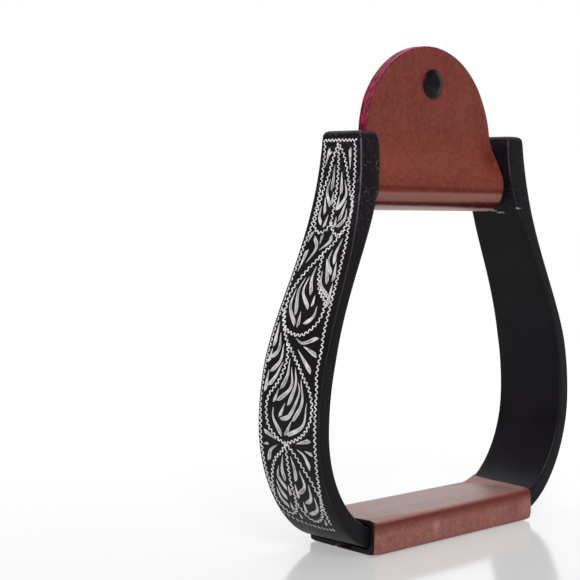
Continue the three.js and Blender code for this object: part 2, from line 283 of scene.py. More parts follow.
class Nodes:
    """A material's node tree under construction."""

    def __init__(self, name: str) -> None:
        """Starts an empty tree with its shader and output."""
        self.material = bpy.data.materials.new(name)
        self.material.use_nodes = True
        self.tree = self.material.node_tree
        self.tree.nodes.clear()
        self.output = self.tree.nodes.new("ShaderNodeOutputMaterial")
        self.shader = self.add("ShaderNodeBsdfPrincipled")
        self.join(self.shader, "BSDF", self.output, "Surface")
        self.place = self.add("ShaderNodeTexCoord")

    def add(self, kind: str, **settings: object) -> bpy.types.Node:
        """A new node with its settings; names of sockets start with a capital letter.

        Args:
            kind: the node's type.
            **settings: properties in small letters, and socket values in capitals with _ for a space.

        Returns:
            The node.
        """
        node = self.tree.nodes.new(kind)
        for name, value in settings.items():
            if name[0].isupper():
                node.inputs[name.replace("_", " ")].default_value = value
            else:
                setattr(node, name, value)
        return node

    def join(self, source: bpy.types.Node, out: str | int, target: bpy.types.Node, into: str | int) -> None:
        """Links one node's output to another's input."""
        self.tree.links.new(source.outputs[out], target.inputs[into])

    def noise(
        self, scale: float, detail: float, rough: float = 0.5, distortion: float = 0
    ) -> bpy.types.Node:
        """Cloudy noise in the object's own coordinates.

        Args:
            scale: its features for each metre.
            detail: how many finer layers lie in it.
            rough: how strong they are.
            distortion: how far it is bent by itself.

        Returns:
            The noise's node.
        """
        node = self.add(
            "ShaderNodeTexNoise", Scale=scale, Detail=detail, Roughness=rough, Distortion=distortion
        )
        self.join(self.place, "Object", node, "Vector")
        return node

    def stretched(self, scales: Triple, detail: float, rough: float = 0.5) -> bpy.types.Node:
        """Noise drawn out along some axes.

        Args:
            scales: its features for each metre along each axis.
            detail: how many finer layers lie in it.
            rough: how strong they are.

        Returns:
            The noise's node.
        """
        stretch = self.add("ShaderNodeMapping")
        stretch.inputs["Scale"].default_value = scales
        self.join(self.place, "Object", stretch, "Vector")
        node = self.add("ShaderNodeTexNoise", Scale=1, Detail=detail, Roughness=rough)
        self.join(stretch, 0, node, "Vector")
        return node

    def cells(self, scale: float) -> bpy.types.Node:
        """Scattered cells in the object's own coordinates.

        Args:
            scale: how many lie in each metre.

        Returns:
            The node, whose output Distance is 0 in each cell's middle.
        """
        node = self.add("ShaderNodeTexVoronoi", feature="F1", Scale=scale)
        self.join(self.place, "Object", node, "Vector")
        return node

    def split(self) -> bpy.types.Node:
        """The object's own coordinates split into X, Y and Z.

        Returns:
            The splitting node.
        """
        node = self.add("ShaderNodeSeparateXYZ")
        self.join(self.place, "Object", node, 0)
        return node

    def ramp(self, source: bpy.types.Node, out: str | int, low: float, high: float) -> bpy.types.Node:
        """A value stretched so that low is 0 and high is 1.

        Args:
            source: the node that gives the value.
            out: the output that it comes from.
            low: the value that becomes 0.
            high: the value that becomes 1.

        Returns:
            The node with the stretched value.
        """
        node = self.add("ShaderNodeMapRange", clamp=True)
        node.inputs["From Min"].default_value = low
        node.inputs["From Max"].default_value = high
        self.join(source, out, node, "Value")
        return node

    def cloud(self, cloud: Cloud) -> bpy.types.Node:
        """The mask of a cloud."""
        return self.ramp(self.noise(cloud.scale, cloud.detail, cloud.rough), 0, cloud.low, cloud.high)

    def mix(
        self,
        share: bpy.types.Node | float,
        first: bpy.types.Node | Sequence[float],
        second: bpy.types.Node | Sequence[float],
    ) -> bpy.types.Node:
        """A colour between two others.

        Args:
            share: how much of the second one, as a number or a node.
            first: a colour, or a node with one.
            second: the other one.

        Returns:
            The mixing node, whose output 2 is the colour.
        """
        node = self.add("ShaderNodeMix", data_type="RGBA")
        if isinstance(share, (int, float)):
            node.inputs[0].default_value = share
        else:
            self.join(share, 0, node, 0)
        for socket, value in ((6, first), (7, second)):
            if isinstance(value, bpy.types.Node):
                out = 2 if value.bl_idname == "ShaderNodeMix" else 0
                self.join(value, out, node, socket)
            else:
                node.inputs[socket].default_value = (*value, 1)
        return node

    def math(
        self, kind: str, first: bpy.types.Node | float, second: bpy.types.Node | float = 0
    ) -> bpy.types.Node:
        """Two values put together.

        Args:
            kind: Blender's name of the sum, product or other operation.
            first: a number, or a node with one.
            second: the other one.

        Returns:
            The node with the result.
        """
        node = self.add("ShaderNodeMath", operation=kind, use_clamp=False)
        for socket, value in ((0, first), (1, second)):
            if isinstance(value, bpy.types.Node):
                self.join(value, 0, node, socket)
            else:
                node.inputs[socket].default_value = value
        return node

    def product(self, *values: bpy.types.Node | float) -> bpy.types.Node:
        """The product of several values.

        Args:
            *values: the numbers, or nodes with one; the first is a node.

        Returns:
            The node with the product.
        """
        whole = values[0]
        for value in values[1:]:
            whole = self.math("MULTIPLY", whole, value)
        return whole

    def near(
        self, spot: Sequence[float], reach: Sequence[float], core: float, fall: float = 0.0
    ) -> bpy.types.Node:
        """A mask that is 1 about a spot of the object and 0 beyond its reach.

        Args:
            spot: the mask's middle in metres.
            reach: how far it goes along each axis.
            core: the share of the reach within which it is full.
            fall: the angle by which it falls towards +X.

        Returns:
            The node with the mask.
        """
        apart = self.add("ShaderNodeVectorMath", operation="SUBTRACT")
        self.join(self.place, "Object", apart, 0)
        turned = self.add("ShaderNodeVectorRotate", rotation_type="Y_AXIS", Angle=-fall)
        self.join(apart, 0, turned, "Vector")
        scaled = self.add("ShaderNodeVectorMath", operation="DIVIDE")
        self.join(turned, 0, scaled, 0)
        apart.inputs[1].default_value, scaled.inputs[1].default_value = spot, reach
        far = self.add("ShaderNodeVectorMath", operation="LENGTH")
        self.join(scaled, 0, far, 0)
        return self.ramp(far, "Value", 1.0, core)

    def most(self, *masks: bpy.types.Node) -> bpy.types.Node:
        """The greatest of several masks.

        Args:
            *masks: the nodes of the masks.

        Returns:
            The node with the greatest.
        """
        whole = masks[0]
        for mask in masks[1:]:
            whole = self.math("MAXIMUM", whole, mask)
        return whole

    def bump(self, height: bpy.types.Node, strength: float, distance: float) -> None:
        """Roughens the surface by a height, and puts it on the shader.

        Args:
            height: the node with the height.
            strength: how strongly it shows, from 0 to 1.
            distance: the greatest height in metres.
        """
        node = self.add("ShaderNodeBump", Strength=strength, Distance=distance)
        self.join(height, 0, node, "Height")
        self.join(node, "Normal", self.shader, "Normal")

    def grain(self, grain: Grain) -> None:
        """Roughens the surface by a fine grain."""
        self.bump(self.noise(grain.scale, grain.detail, grain.rough), grain.strength, grain.distance)

    def rough_between(self, mask: bpy.types.Node, low: float, high: float) -> bpy.types.Node:
        """A roughness that wanders between two values.

        Args:
            mask: the node that it follows.
            low: the roughness where the mask is 0.
            high: the roughness where the mask is 1.

        Returns:
            The node with the roughness.
        """
        node = self.add("ShaderNodeMapRange")
        node.inputs["To Min"].default_value = low
        node.inputs["To Max"].default_value = high
        self.join(mask, 0, node, "Value")
        return node

    def set(self, **values: float) -> None:
        """Sets the shader's own sockets."""
        for name, value in values.items():
            self.shader.inputs[name.replace("_", " ")].default_value = value


# Finishes


@dataclass(frozen=True)
class SatinBlackPaint:
    """Satin black paint over a casting, thin on the neck's edges and scuffed beneath the leather; the light
    line along its edges is partly worn paint and partly a painted highlight of their rounding.

    Ranges give the values at which a mask is 0 and 1. The scuffs are pairs of a place and its reach.
    """

    colour: Triple = (0.0038, 0.0029, 0.0044)
    dusty: Triple = (0.0078, 0.0061, 0.0082)
    dust: Cloud = Cloud(70, 4, 0.6, 0.35, 0.75)
    # bare: the colour of worn paint along the edges, also a painted highlight of their rounding
    bare: Triple = (0.13, 0.12, 0.145)
    scuffed: Triple = (0.45, 0.43, 0.42)
    scuffs: tuple[tuple[Triple, Triple], ...] = (
        ((0.0425, 0.0006, 0.1248), (0.003, 0.0024, 0.0005)),
        ((0.0425, -0.0028, 0.124), (0.003, 0.0026, 0.0005)),
        ((0.0425, -0.0115, 0.1259), (0.003, 0.0008, 0.0006)),
    )
    scuff_core: float = 0.3
    scuff_breaks: Cloud = Cloud(1100, 4, 0.7, 0.38, 0.55)
    neck: Range = (112 * MM, 132 * MM)
    edge_power: float = 4.0
    chips: Cloud = Cloud(160, 4, 0.6, 0.3, 0.66)
    least_chips: float = 0.12
    specks_each_metre: float = 1000.0
    speck: Range = (0.36, 0.14)
    speck_patches: Cloud = Cloud(230, 4, 0.75, 0.42, 0.56)
    speck_strength: float = 0.68
    least_specks: float = 0.1
    engraved_arm: Range = (30 * MM, 0.0)
    other_arm_wear_and_highlight: float = 0.3
    roughness: Range = (0.34, 0.48)
    rough_scale: float = 240.0
    grain: Grain = Grain(900, 4, 0.65, 0.16)
    specular: float = 0.115

    def _worn_and_highlit(self, nodes: Nodes) -> bpy.types.Node:
        """How far the bare colour shows: a light line along the edges of the neck, partly worn paint and
        partly a painted highlight, and small worn specks on its faces.

        Args:
            nodes: the material's nodes.

        Returns:
            The node with the mask.
        """
        edge = nodes.add("ShaderNodeAttribute", attribute_name="edge")
        line = nodes.add("ShaderNodeMath", operation="POWER")
        nodes.join(edge, "Fac", line, 0)
        line.inputs[1].default_value = self.edge_power
        split = nodes.split()
        neck = nodes.ramp(split, "Z", *self.neck)
        rubbed = nodes.product(line, nodes.cloud(self.chips), nodes.math("MAXIMUM", neck, self.least_chips))
        speck = nodes.ramp(nodes.cells(self.specks_each_metre), "Distance", *self.speck)
        places = nodes.math("MAXIMUM", neck, self.least_specks)
        dots = nodes.product(speck, nodes.cloud(self.speck_patches), places, self.speck_strength)
        arm = nodes.math("MAXIMUM", nodes.ramp(split, "X", *self.engraved_arm), self.other_arm_wear_and_highlight)
        return nodes.product(nodes.most(rubbed, dots), arm)

    def material(self) -> bpy.types.Material:
        """The painted finish.

        Returns:
            The new material.
        """
        nodes = Nodes("satin_black_paint")
        paint = nodes.mix(nodes.cloud(self.dust), self.colour, self.dusty)
        # the edge line is partly worn paint and partly a painted highlight of the rounded edges
        colour = nodes.mix(self._worn_and_highlit(nodes), paint, self.bare)
        scuff = nodes.most(*(nodes.near(spot, reach, self.scuff_core) for spot, reach in self.scuffs))
        broken = nodes.product(scuff, nodes.cloud(self.scuff_breaks))
        nodes.join(nodes.mix(broken, colour, self.scuffed), 2, nodes.shader, "Base Color")
        rough = nodes.rough_between(nodes.noise(self.rough_scale, 4, 0.6), *self.roughness)
        nodes.join(rough, 0, nodes.shader, "Roughness")
        nodes.grain(self.grain)
        nodes.set(Specular_IOR_Level=self.specular)
        return nodes.material


@dataclass(frozen=True)
class BrightCutMetal:
    """Bare metal at the bottom of an engraver's cut."""

    name: str = "bright_cut_metal"
    colour: Triple = (0.86, 0.84, 0.82)
    shaded: Triple = (0.5, 0.48, 0.48)
    patches: Cloud = Cloud(650, 3, 0.6, 0.32, 0.62)
    grain: Grain = Grain(2600, 3, 0.6, 0.35)
    metallic: float = 0.25
    roughness: float = 0.42

    def material(self) -> bpy.types.Material:
        """The finish of the cuts.

        Returns:
            The new material.
        """
        nodes = Nodes(self.name)
        colour = nodes.mix(nodes.cloud(self.patches), self.shaded, self.colour)
        nodes.join(colour, 2, nodes.shader, "Base Color")
        nodes.grain(self.grain)
        nodes.set(Metallic=self.metallic, Roughness=self.roughness)
        return nodes.material


@dataclass(frozen=True)
class TurnedSteel:
    """Plain turned steel, a little dull."""

    colour: Triple = (0.36, 0.36, 0.37)
    dull: Triple = (0.2, 0.19, 0.185)
    patches: Cloud = Cloud(90, 4, 0.7, 0.35, 0.7)
    tool_lines: Triple = (4000, 120, 120)
    line_strength: float = 0.2
    line_depth: float = 0.1 * MM
    roughness: float = 0.36

    def material(self) -> bpy.types.Material:
        """The steel finish.

        Returns:
            The new material.
        """
        nodes = Nodes("turned_steel")
        patch = nodes.cloud(self.patches)
        nodes.join(nodes.mix(patch, self.dull, self.colour), 2, nodes.shader, "Base Color")
        nodes.bump(nodes.stretched(self.tool_lines, 3), self.line_strength, self.line_depth)
        nodes.set(Metallic=1, Roughness=self.roughness)
        return nodes.material


@dataclass(frozen=True)
class Mark:
    """A stained, rubbed or polished place on the leather; some marks are bands of painted highlight and
    painted shade instead.

    Its core is the share of its reach within which it is full, and fall is the angle by which it goes
    down towards +X.
    """

    spot: Triple
    reach: Triple
    colour: Triple = (0.08, 0.011, 0.003)
    strength: float = 1.0
    core: float = 0.4
    fall: float = 0.0
    ragged: bool = True


@dataclass(frozen=True)
class SoftMark(Mark):
    """A mark with a soft edge instead of a ragged one."""

    ragged: bool = False


@dataclass(frozen=True)
class BrownLeather:
    """Smooth finished reddish-brown leather with a fine grain, a few pale specks and darker stains, and marks
    that can paint highlights and shades onto it.

    Ranges give the values at which a mask is 0 and 1.
    """

    name: str = "brown_leather"
    colour: Triple = (0.146, 0.025, 0.015)
    deep: Triple = (0.11, 0.016, 0.009)
    tone: Cloud = Cloud(75, 5, 0.6, 0.3, 0.72)
    rubbed: Triple = (0.31, 0.145, 0.115)
    rubs: Cloud = Cloud(620, 6, 0.7, 0.4, 0.7)
    haze: float = 0.0
    stain: Triple = (0.08, 0.011, 0.003)
    stains: Cloud = Cloud(36, 3, 0.5, 0.62, 0.8)
    stain_strength: float = 0.7
    marks_and_painted_light: tuple[Mark, ...] = ()
    ragged: Cloud = Cloud(430, 5, 0.65, 0.34, 0.48)
    pores_each_metre: float = 1500.0
    pore: Range = (0.0, 0.55)
    pore_shade: float = 0.28
    pale: Triple = (0.42, 0.22, 0.17)
    specks_each_metre: float = 310.0
    speck: Range = (0.075, 0.045)
    speck_patches: Cloud = Cloud(60, 1, 0.5, 0.57, 0.62)
    speck_strength: float = 0.6
    roughness: float = 0.5
    rough_spread: Range = (-0.08, 0.1)
    rough_scale: float = 160.0
    polished: Mark = Mark((0, 0, 0.1258), (1, 1, 0.0016), core=0.8)
    polish: float = 0.3
    pore_depth: float = 0.6
    crease_depth: float = 0.8
    bump_strength: float = 0.22
    bump_depth: float = 0.16 * MM
    specular: float = 0.2

    def _marked(self, nodes: Nodes, hide: bpy.types.Node) -> bpy.types.Node:
        """The hide's colour with its own marks laid over it: stains and scuffs, and bands of painted
        highlight and painted shade.

        Args:
            nodes: the material's nodes.
            hide: the node with the hide's colour.

        Returns:
            The node with the marked colour.
        """
        ragged = nodes.cloud(self.ragged)
        for mark in self.marks_and_painted_light:
            mask = nodes.product(nodes.near(mark.spot, mark.reach, mark.core, mark.fall), mark.strength)
            if mark.ragged:
                mask = nodes.product(mask, ragged)
            hide = nodes.mix(mask, hide, mark.colour)
        return hide

    def _colour(self, nodes: Nodes, pores: bpy.types.Node) -> bpy.types.Node:
        """The leather's colour with all that lies over it.

        Args:
            nodes: the material's nodes.
            pores: the node that is 0 in each pore's middle.

        Returns:
            The node with the colour.
        """
        hide = nodes.mix(nodes.cloud(self.tone), self.deep, self.colour)
        hide = nodes.mix(nodes.product(nodes.cloud(self.rubs), self.haze), hide, self.rubbed)
        hide = nodes.mix(nodes.product(nodes.cloud(self.stains), self.stain_strength), hide, self.stain)
        hide = self._marked(nodes, hide)
        shade = nodes.product(nodes.math("SUBTRACT", 1.0, pores), self.pore_shade)
        hide = nodes.mix(shade, hide, self.deep)
        speck = nodes.ramp(nodes.cells(self.specks_each_metre), "Distance", *self.speck)
        specks = nodes.product(speck, nodes.cloud(self.speck_patches), self.speck_strength)
        return nodes.mix(specks, hide, self.pale)

    def _roughness(self, nodes: Nodes) -> bpy.types.Node:
        """The leather's roughness, finer where it is polished.

        Args:
            nodes: the material's nodes.

        Returns:
            The node with the roughness.
        """
        low, high = (self.roughness + spread for spread in self.rough_spread)
        rough = nodes.rough_between(nodes.noise(self.rough_scale, 4, 0.6), low, high)
        smooth = nodes.near(self.polished.spot, self.polished.reach, self.polished.core)
        return nodes.math("SUBTRACT", rough, nodes.product(smooth, self.roughness - self.polish))

    def material(self) -> bpy.types.Material:
        """The leather finish.

        Returns:
            The new material.
        """
        nodes = Nodes(self.name)
        pores = nodes.ramp(nodes.cells(self.pores_each_metre), "Distance", *self.pore)
        nodes.join(self._colour(nodes, pores), 2, nodes.shader, "Base Color")
        nodes.join(self._roughness(nodes), 0, nodes.shader, "Roughness")
        creases = nodes.product(nodes.noise(520, 5, 0.62, 0.4), self.crease_depth)
        height = nodes.math("ADD", nodes.product(pores, self.pore_depth), creases)
        nodes.bump(height, self.bump_strength, self.bump_depth)
        nodes.set(Specular_IOR_Level=self.specular)
        return nodes.material


@dataclass(frozen=True)
class PaintedEdge:
    """The cut edge of the leather, painted dark red above a height, with streaks and pale worn places."""

    name: str = "painted_edge"
    colour: Triple = (0.33, 0.012, 0.062)
    dark: Triple = (0.03, 0.005, 0.008)
    worn: Triple = (0.42, 0.2, 0.2)
    worn_places: Cloud = Cloud(110, 4, 0.7, 0.65, 0.77)
    fibres_each_metre: Triple = (260, 2200, 260)
    streak: Range = (0.4, 0.56)
    painted: Range = (140 * MM, 144 * MM)
    bump_strength: float = 0.5
    bump_depth: float = 0.2 * MM
    roughness: float = 0.45
    specular: float = 0.16

    def material(self) -> bpy.types.Material:
        """The edge finish.

        Returns:
            The new material.
        """
        nodes = Nodes(self.name)
        fibres = nodes.stretched(self.fibres_each_metre, 5, 0.65)
        streaked = nodes.mix(nodes.ramp(fibres, 0, *self.streak), self.colour, self.dark)
        worn = nodes.mix(nodes.cloud(self.worn_places), streaked, self.worn)
        edge = nodes.mix(nodes.ramp(nodes.split(), "Z", *self.painted), self.dark, worn)
        nodes.join(edge, 2, nodes.shader, "Base Color")
        nodes.bump(fibres, self.bump_strength, self.bump_depth)
        nodes.set(Roughness=self.roughness, Specular_IOR_Level=self.specular)
        return nodes.material


@dataclass(frozen=True)
class BlackEnamel:
    """Glossy black enamel of the rivet."""

    colour: Triple = (0.0035, 0.003, 0.0038)
    dusty: Triple = (0.008, 0.007, 0.0075)
    dust: Cloud = Cloud(600, 3, 0.6, 0.4, 0.7)
    grain: Grain = Grain(1500, 2, 0.5, 0.08)
    roughness: float = 0.24
    specular: float = 0.12

    def material(self) -> bpy.types.Material:
        """The enamel.

        Returns:
            The new material.
        """
        nodes = Nodes("black_enamel")
        colour = nodes.mix(nodes.cloud(self.dust), self.colour, self.dusty)
        nodes.join(colour, 2, nodes.shader, "Base Color")
        nodes.grain(self.grain)
        nodes.set(Roughness=self.roughness, Specular_IOR_Level=self.specular)
        return nodes.material


# The shape and the places that the casting and everything on it share


@dataclass(frozen=True)
class BellShape:
    """The bell-shaped casting's outlines, as cubic curves on each half, and the place of its neck pin."""

    half_gap: float = 38.1 * MM
    half_inside: float = 67.8 * MM
    widest_height: float = 48 * MM
    arm_top: float = 154 * MM
    half_flat: float = 42 * MM
    neck_wall: float = 9.5 * MM
    arm_wall: float = 5.9 * MM
    underside: float = 2.5 * MM
    tread_wall: float = 7.2 * MM
    body_depth: float = 31.2 * MM
    neck_depth: float = 19.6 * MM
    taper_start: float = 72 * MM
    taper_power: float = 1.15
    outer_corner: Point2 = (16 * MM, 23 * MM)
    inner_corner: Point2 = (9.5 * MM, 24 * MM)
    outer_shoulder: Point2 = (40 * MM, 48 * MM)
    inner_shoulder: Point2 = (50 * MM, 33.5 * MM)
    neck_pinch: float = 5.5 * MM
    pin_height: float = 135 * MM
    socket_wall: float = 2.6 * MM
    side_gap: float = 0.45 * MM
    fine_steps: int = 400
    gap_steps: int = 25

    def _curve(
        self,
        side: float,
        foot: float,
        widest: float,
        neck: float,
        corner: Point2,
        shoulder: Point2,
        pinch: float,
    ) -> tuple[Path2, Path2]:
        """The corner and shoulder curves of one outline.

        Args:
            side: how far out its tread end lies.
            foot: how high that end lies.
            widest: half its greatest width.
            neck: half its width at the arm's top.
            corner: the reach of the corner's two handles.
            shoulder: the reach of the shoulder's two handles.
            pinch: how far the upper handle is drawn in.

        Returns:
            The two curves' control points.
        """
        low = ((side, foot), (side + corner[0], foot), (widest, self.widest_height - corner[1]))
        mid = (widest, self.widest_height)
        high = ((widest, self.widest_height + shoulder[0]), (neck - pinch, self.arm_top - shoulder[1]))
        return (*low, mid), (mid, *high, (neck, self.arm_top))

    def outer(self) -> tuple[Path2, Path2]:
        """The outer outline's corner and shoulder.

        Returns:
            The two curves' control points.
        """
        widest, neck = self.half_inside + self.arm_wall, self.half_gap + self.neck_wall
        return self._curve(
            self.half_flat, self.underside, widest, neck, self.outer_corner, self.outer_shoulder, 0
        )

    def inner(self) -> tuple[Path2, Path2]:
        """The inner outline's corner and shoulder.

        Returns:
            The two curves' control points.
        """
        return self._curve(
            self.half_flat,
            self.underside + self.tread_wall,
            self.half_inside,
            self.half_gap,
            self.inner_corner,
            self.inner_shoulder,
            self.neck_pinch,
        )

    def depth(self, height: np.ndarray | float) -> np.ndarray:
        """How deep the casting is from front to back at a height."""
        share = np.clip((np.asarray(height) - self.taper_start) / (self.arm_top - self.taper_start), 0, 1)
        return self.body_depth - (self.body_depth - self.neck_depth) * share**self.taper_power

    def half_width(self, curves: tuple[Path2, Path2], height: float) -> float:
        """Half the width of an outline at a height of the arms."""
        line = bezier(curves[1], np.linspace(0, 1, self.fine_steps))
        return float(np.interp(height, line[:, 1], line[:, 0]))

    def socket_end(self) -> float:
        """How far from the middle the pin's blind sockets end."""
        return self.half_width(self.outer(), self.pin_height) - self.socket_wall

    def roll_half(self) -> float:
        """Half the width of what lies freely between the arms, from the pin up to their tops."""
        heights = np.linspace(self.pin_height, self.arm_top, self.gap_steps)
        return min(self.half_width(self.inner(), height) for height in heights) - self.side_gap

    def half_run(self, flats: int, corners: int, shoulders: int) -> tuple[np.ndarray, np.ndarray]:
        """The outlines' points of the right half, from the middle of the tread to the arm's top.

        Args:
            flats: steps along half of the tread.
            corners: steps round the lower corner.
            shoulders: steps up the arm.

        Returns:
            The outer points and the inner ones, as (x, z).
        """
        runs = []
        for foot, curves in (
            (self.underside, self.outer()),
            (self.underside + self.tread_wall, self.inner()),
        ):
            out = np.linspace(0, self.half_flat, flats, endpoint=False)
            flat = np.column_stack([out, np.full(flats, foot)])
            corner = bezier(curves[0], np.linspace(0, 1, corners, endpoint=False))
            shoulder = bezier(curves[1], np.linspace(0, 1, shoulders + 1))
            runs.append(np.vstack([flat, corner, shoulder]))
        return runs[0], runs[1]

    def whole_run(self, flats: int, corners: int, shoulders: int) -> tuple[np.ndarray, np.ndarray]:
        """Both halves in one run, from the left arm's top to the right one's.

        Args:
            flats: steps along half of the tread.
            corners: steps round each lower corner.
            shoulders: steps up each arm.

        Returns:
            The outer points and the inner ones, as (x, z).
        """
        outer, inner = self.half_run(flats, corners, shoulders)
        flip = np.array([-1, 1])
        return np.vstack([outer[:0:-1] * flip, outer]), np.vstack([inner[:0:-1] * flip, inner])


BELL = BellShape()
RIVET_HEIGHT = 173.6 * MM


def rounded_section(low: float, high: float, radius: float, arc: int, flats: tuple[int, int]) -> np.ndarray:
    """A rounded rectangle as rows of (side, offset, inward, edge).

    Args:
        low: the inward distance where it starts.
        high: the inward distance where it ends.
        radius: the rounding of its corners.
        arc: steps round each corner.
        flats: steps along the two wide faces and along the two narrow ones.

    Returns:
        For each point which end of the depth it belongs to (-1 front, 1 back, between them on the wide
        faces), how far it lies inside that end, its inward distance, and how much it is on an edge.
    """
    rows: list[tuple[float, float, float, float]] = []
    wide, narrow = flats
    turns = np.linspace(0, math.pi / 2, arc + 1)

    def corner(side: int, at_low: bool, reverse: bool) -> None:
        """Adds one rounded corner.

        Args:
            side: -1 at the front, 1 at the back.
            at_low: whether it lies where the section starts.
            reverse: whether it runs from the narrow face to the wide one.
        """
        for turn in turns[::-1] if reverse else turns:
            inside = radius * (1 - math.sin(turn))
            drawn = radius * (1 - math.cos(turn))
            rows.append((side, inside, low + drawn if at_low else high - drawn, math.sin(2 * turn)))

    corner(-1, True, True)
    for step in range(1, wide):
        rows.append((-1 + 2 * step / wide, radius, low, 0))
    corner(1, True, False)
    for step in range(1, narrow):
        rows.append((1, 0, low + radius + (high - low - 2 * radius) * step / narrow, 0))
    corner(1, False, True)
    for step in range(1, wide):
        rows.append((1 - 2 * step / wide, radius, high, 0))
    corner(-1, False, False)
    for step in range(1, narrow):
        rows.append((-1, 0, high - radius - (high - low - 2 * radius) * step / narrow, 0))
    return np.array(rows)


@dataclass
class CastFrame:
    """The bell-shaped casting with its rounded edges and the blind sockets of the neck pin."""

    edge_round: float = 0.9 * MM
    top_round: float = 2.1 * MM
    top_rise: float = 0.5 * MM
    top_wear_and_highlight: float = 0.62
    top_clear: float = 0.5 * MM
    sharp_angle: float = 50.0
    arc_steps: int = 5
    wide_steps: int = 10
    narrow_steps: int = 4
    flat_steps: int = 10
    corner_steps: int = 30
    shoulder_steps: int = 52
    top_steps: int = 6
    socket_radius: float = 4.3 * MM
    socket_sides: int = 48
    core_lead: float = 6 * MM
    paint: SatinBlackPaint = field(default_factory=SatinBlackPaint)

    def _ring(
        self, outer: np.ndarray, inner: np.ndarray, inset: float = 0.0, sink: float = 0.0
    ) -> tuple[np.ndarray, np.ndarray]:
        """One ring of the loft.

        Args:
            outer: the outer outline's point.
            inner: the inner outline's point.
            inset: how far the ring is drawn in on all sides.
            sink: how far it lies below the two points.

        Returns:
            Its points and how much each is on an edge.
        """
        wall = float(np.linalg.norm(inner - outer))
        section = rounded_section(
            inset, wall - inset, self.edge_round, self.arc_steps, (self.wide_steps, self.narrow_steps)
        )
        inward = unit(inner - outer)
        flat = outer + section[:, 2:3] * inward
        half = BELL.depth(flat[:, 1]) / 2 - inset
        y = section[:, 0] * (half - section[:, 1])
        return np.column_stack([flat[:, 0], y, flat[:, 1] - sink]), section[:, 3]

    def _top_ring(self, outer: np.ndarray, inner: np.ndarray, turn: float) -> tuple[np.ndarray, np.ndarray]:
        """One ring of an arm's rounded top.

        Args:
            outer: the outer outline's last point.
            inner: the inner outline's last point.
            turn: how far round the rounding it lies, from 0 at the side to a right angle on top.

        Returns:
            Its points and how much each is on an edge.
        """
        inset = self.top_round * (1 - math.cos(turn))
        sink = self.top_round * (1 - math.sin(turn)) - self.top_rise
        points, edge = self._ring(outer, inner, inset, sink)
        return points, np.full(len(edge), self.top_wear_and_highlight * math.sin(2 * turn))

    def build(self) -> bpy.types.Object:
        """The casting's mesh, lofted from arm to arm and bored for the pin.

        Returns:
            The casting.
        """
        outer, inner = BELL.whole_run(self.flat_steps, self.corner_steps, self.shoulder_steps)
        turns = np.linspace(0, math.pi / 2, self.top_steps + 1)
        top = BELL.arm_top - self.top_round - self.top_clear
        loft = [self._top_ring(outer[0], inner[0], turn) for turn in turns[::-1]]
        loft += [self._ring(*ends) for ends in zip(outer[1:-1], inner[1:-1]) if ends[0][1] <= top]
        loft += [self._top_ring(outer[-1], inner[-1], turn) for turn in turns]
        points = np.vstack([ring for ring, _ in loft])
        faces = ring_faces(len(loft), len(loft[0][0]))
        made = finish_mesh("cast_frame", points, faces, [self.paint.material()])
        self._mark_edges(made, points, np.concatenate([edge for _, edge in loft]))
        self._bore(made)
        return made

    def _mark_edges(self, made: bpy.types.Object, points: np.ndarray, edges: np.ndarray) -> None:
        """Stores on each point of the mesh how much it is on an edge, where the paint shows worn and a
        painted highlight lies.

        Args:
            made: the casting.
            points: the loft's points.
            edges: how much each of them is on an edge.
        """
        known = {tuple(np.round(point, SAME_PLACE_DIGITS)): value for point, value in zip(points, edges)}
        places = (tuple(np.round(np.array(spot.co), SAME_PLACE_DIGITS)) for spot in made.data.vertices)
        values = [known.get(place, 0.0) for place in places]
        made.data.attributes.new("edge", "FLOAT", "POINT").data.foreach_set("value", values)

    def _bore(self, made: bpy.types.Object) -> None:
        """Cuts the two blind sockets and applies the cuts.

        Args:
            made: the casting.
        """
        start = BELL.half_gap - self.core_lead
        reach = BELL.socket_end() - start
        for side in (-1, 1):
            turned = Matrix.Rotation(math.pi / 2 * side, 4, "Y")
            core = lathe(
                "socket_core",
                [(0, 0), (self.socket_radius, 0), (self.socket_radius, reach), (0, reach)],
                made.data.materials[0],
                Matrix.Translation((start * side, 0, BELL.pin_height)) @ turned,
                self.socket_sides,
            )
            cut = made.modifiers.new("socket", "BOOLEAN")
            cut.operation, cut.object, cut.solver = "DIFFERENCE", core, "EXACT"
            bpy.context.view_layer.update()
            evaluated = made.evaluated_get(bpy.context.evaluated_depsgraph_get())
            shape = bpy.data.meshes.new_from_object(evaluated)
            made.modifiers.clear()
            made.data = shape
            bpy.data.objects.remove(core)
        made.data.name = "cast_frame"

    def dress(self, made: bpy.types.Object) -> list[bpy.types.Object]:
        """Puts the casting on its body.

        Args:
            made: the casting.

        Returns:
            The dressed pieces.
        """
        made.data.set_sharp_from_angle(angle=math.radians(self.sharp_angle))
        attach(made, Body.STIRRUP.value)
        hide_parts("frame")
        return [made]


@dataclass(frozen=True)
class CutPattern:
    """A part of the engraving.

    Its points are in units across the face from its back edge, and in millimetres down the arm's curve.
    """

    wriggles: Paths
    feathers: Paths = ()
    dashes: Paths = ()


BORDERS = CutPattern(
    wriggles=(
        ((40, 3.1), (250, 3.0), (460, 3.0), (670, 3.1)),
        ((80, 4), (90, 12), (90, 25), (80, 35), (50, 43), (40, 50), (30, 57), (29, 68), (30, 80),
         (28, 100), (40, 108), (40, 118), (45, 130), (50, 137)),
        ((635, 4), (640, 12), (640, 30), (645, 40), (645, 62), (650, 75), (665, 80), (665, 90), (690, 95),
         (700, 105), (700, 117), (690, 122), (670, 130), (640, 136), (615, 145), (605, 148)),
    ),
    dashes=(
        ((50, 146.5), (130, 149), (250, 150.7), (400, 151.6), (520, 151.5), (594, 150.9)),
    ),
    feathers=(
        ((118, 12.8), (150, 9.3), (170, 6)), ((135, 9.8), (170, 8.3), (212, 7.1)), ((558, 13.6), (545, 6)),
    ),
)

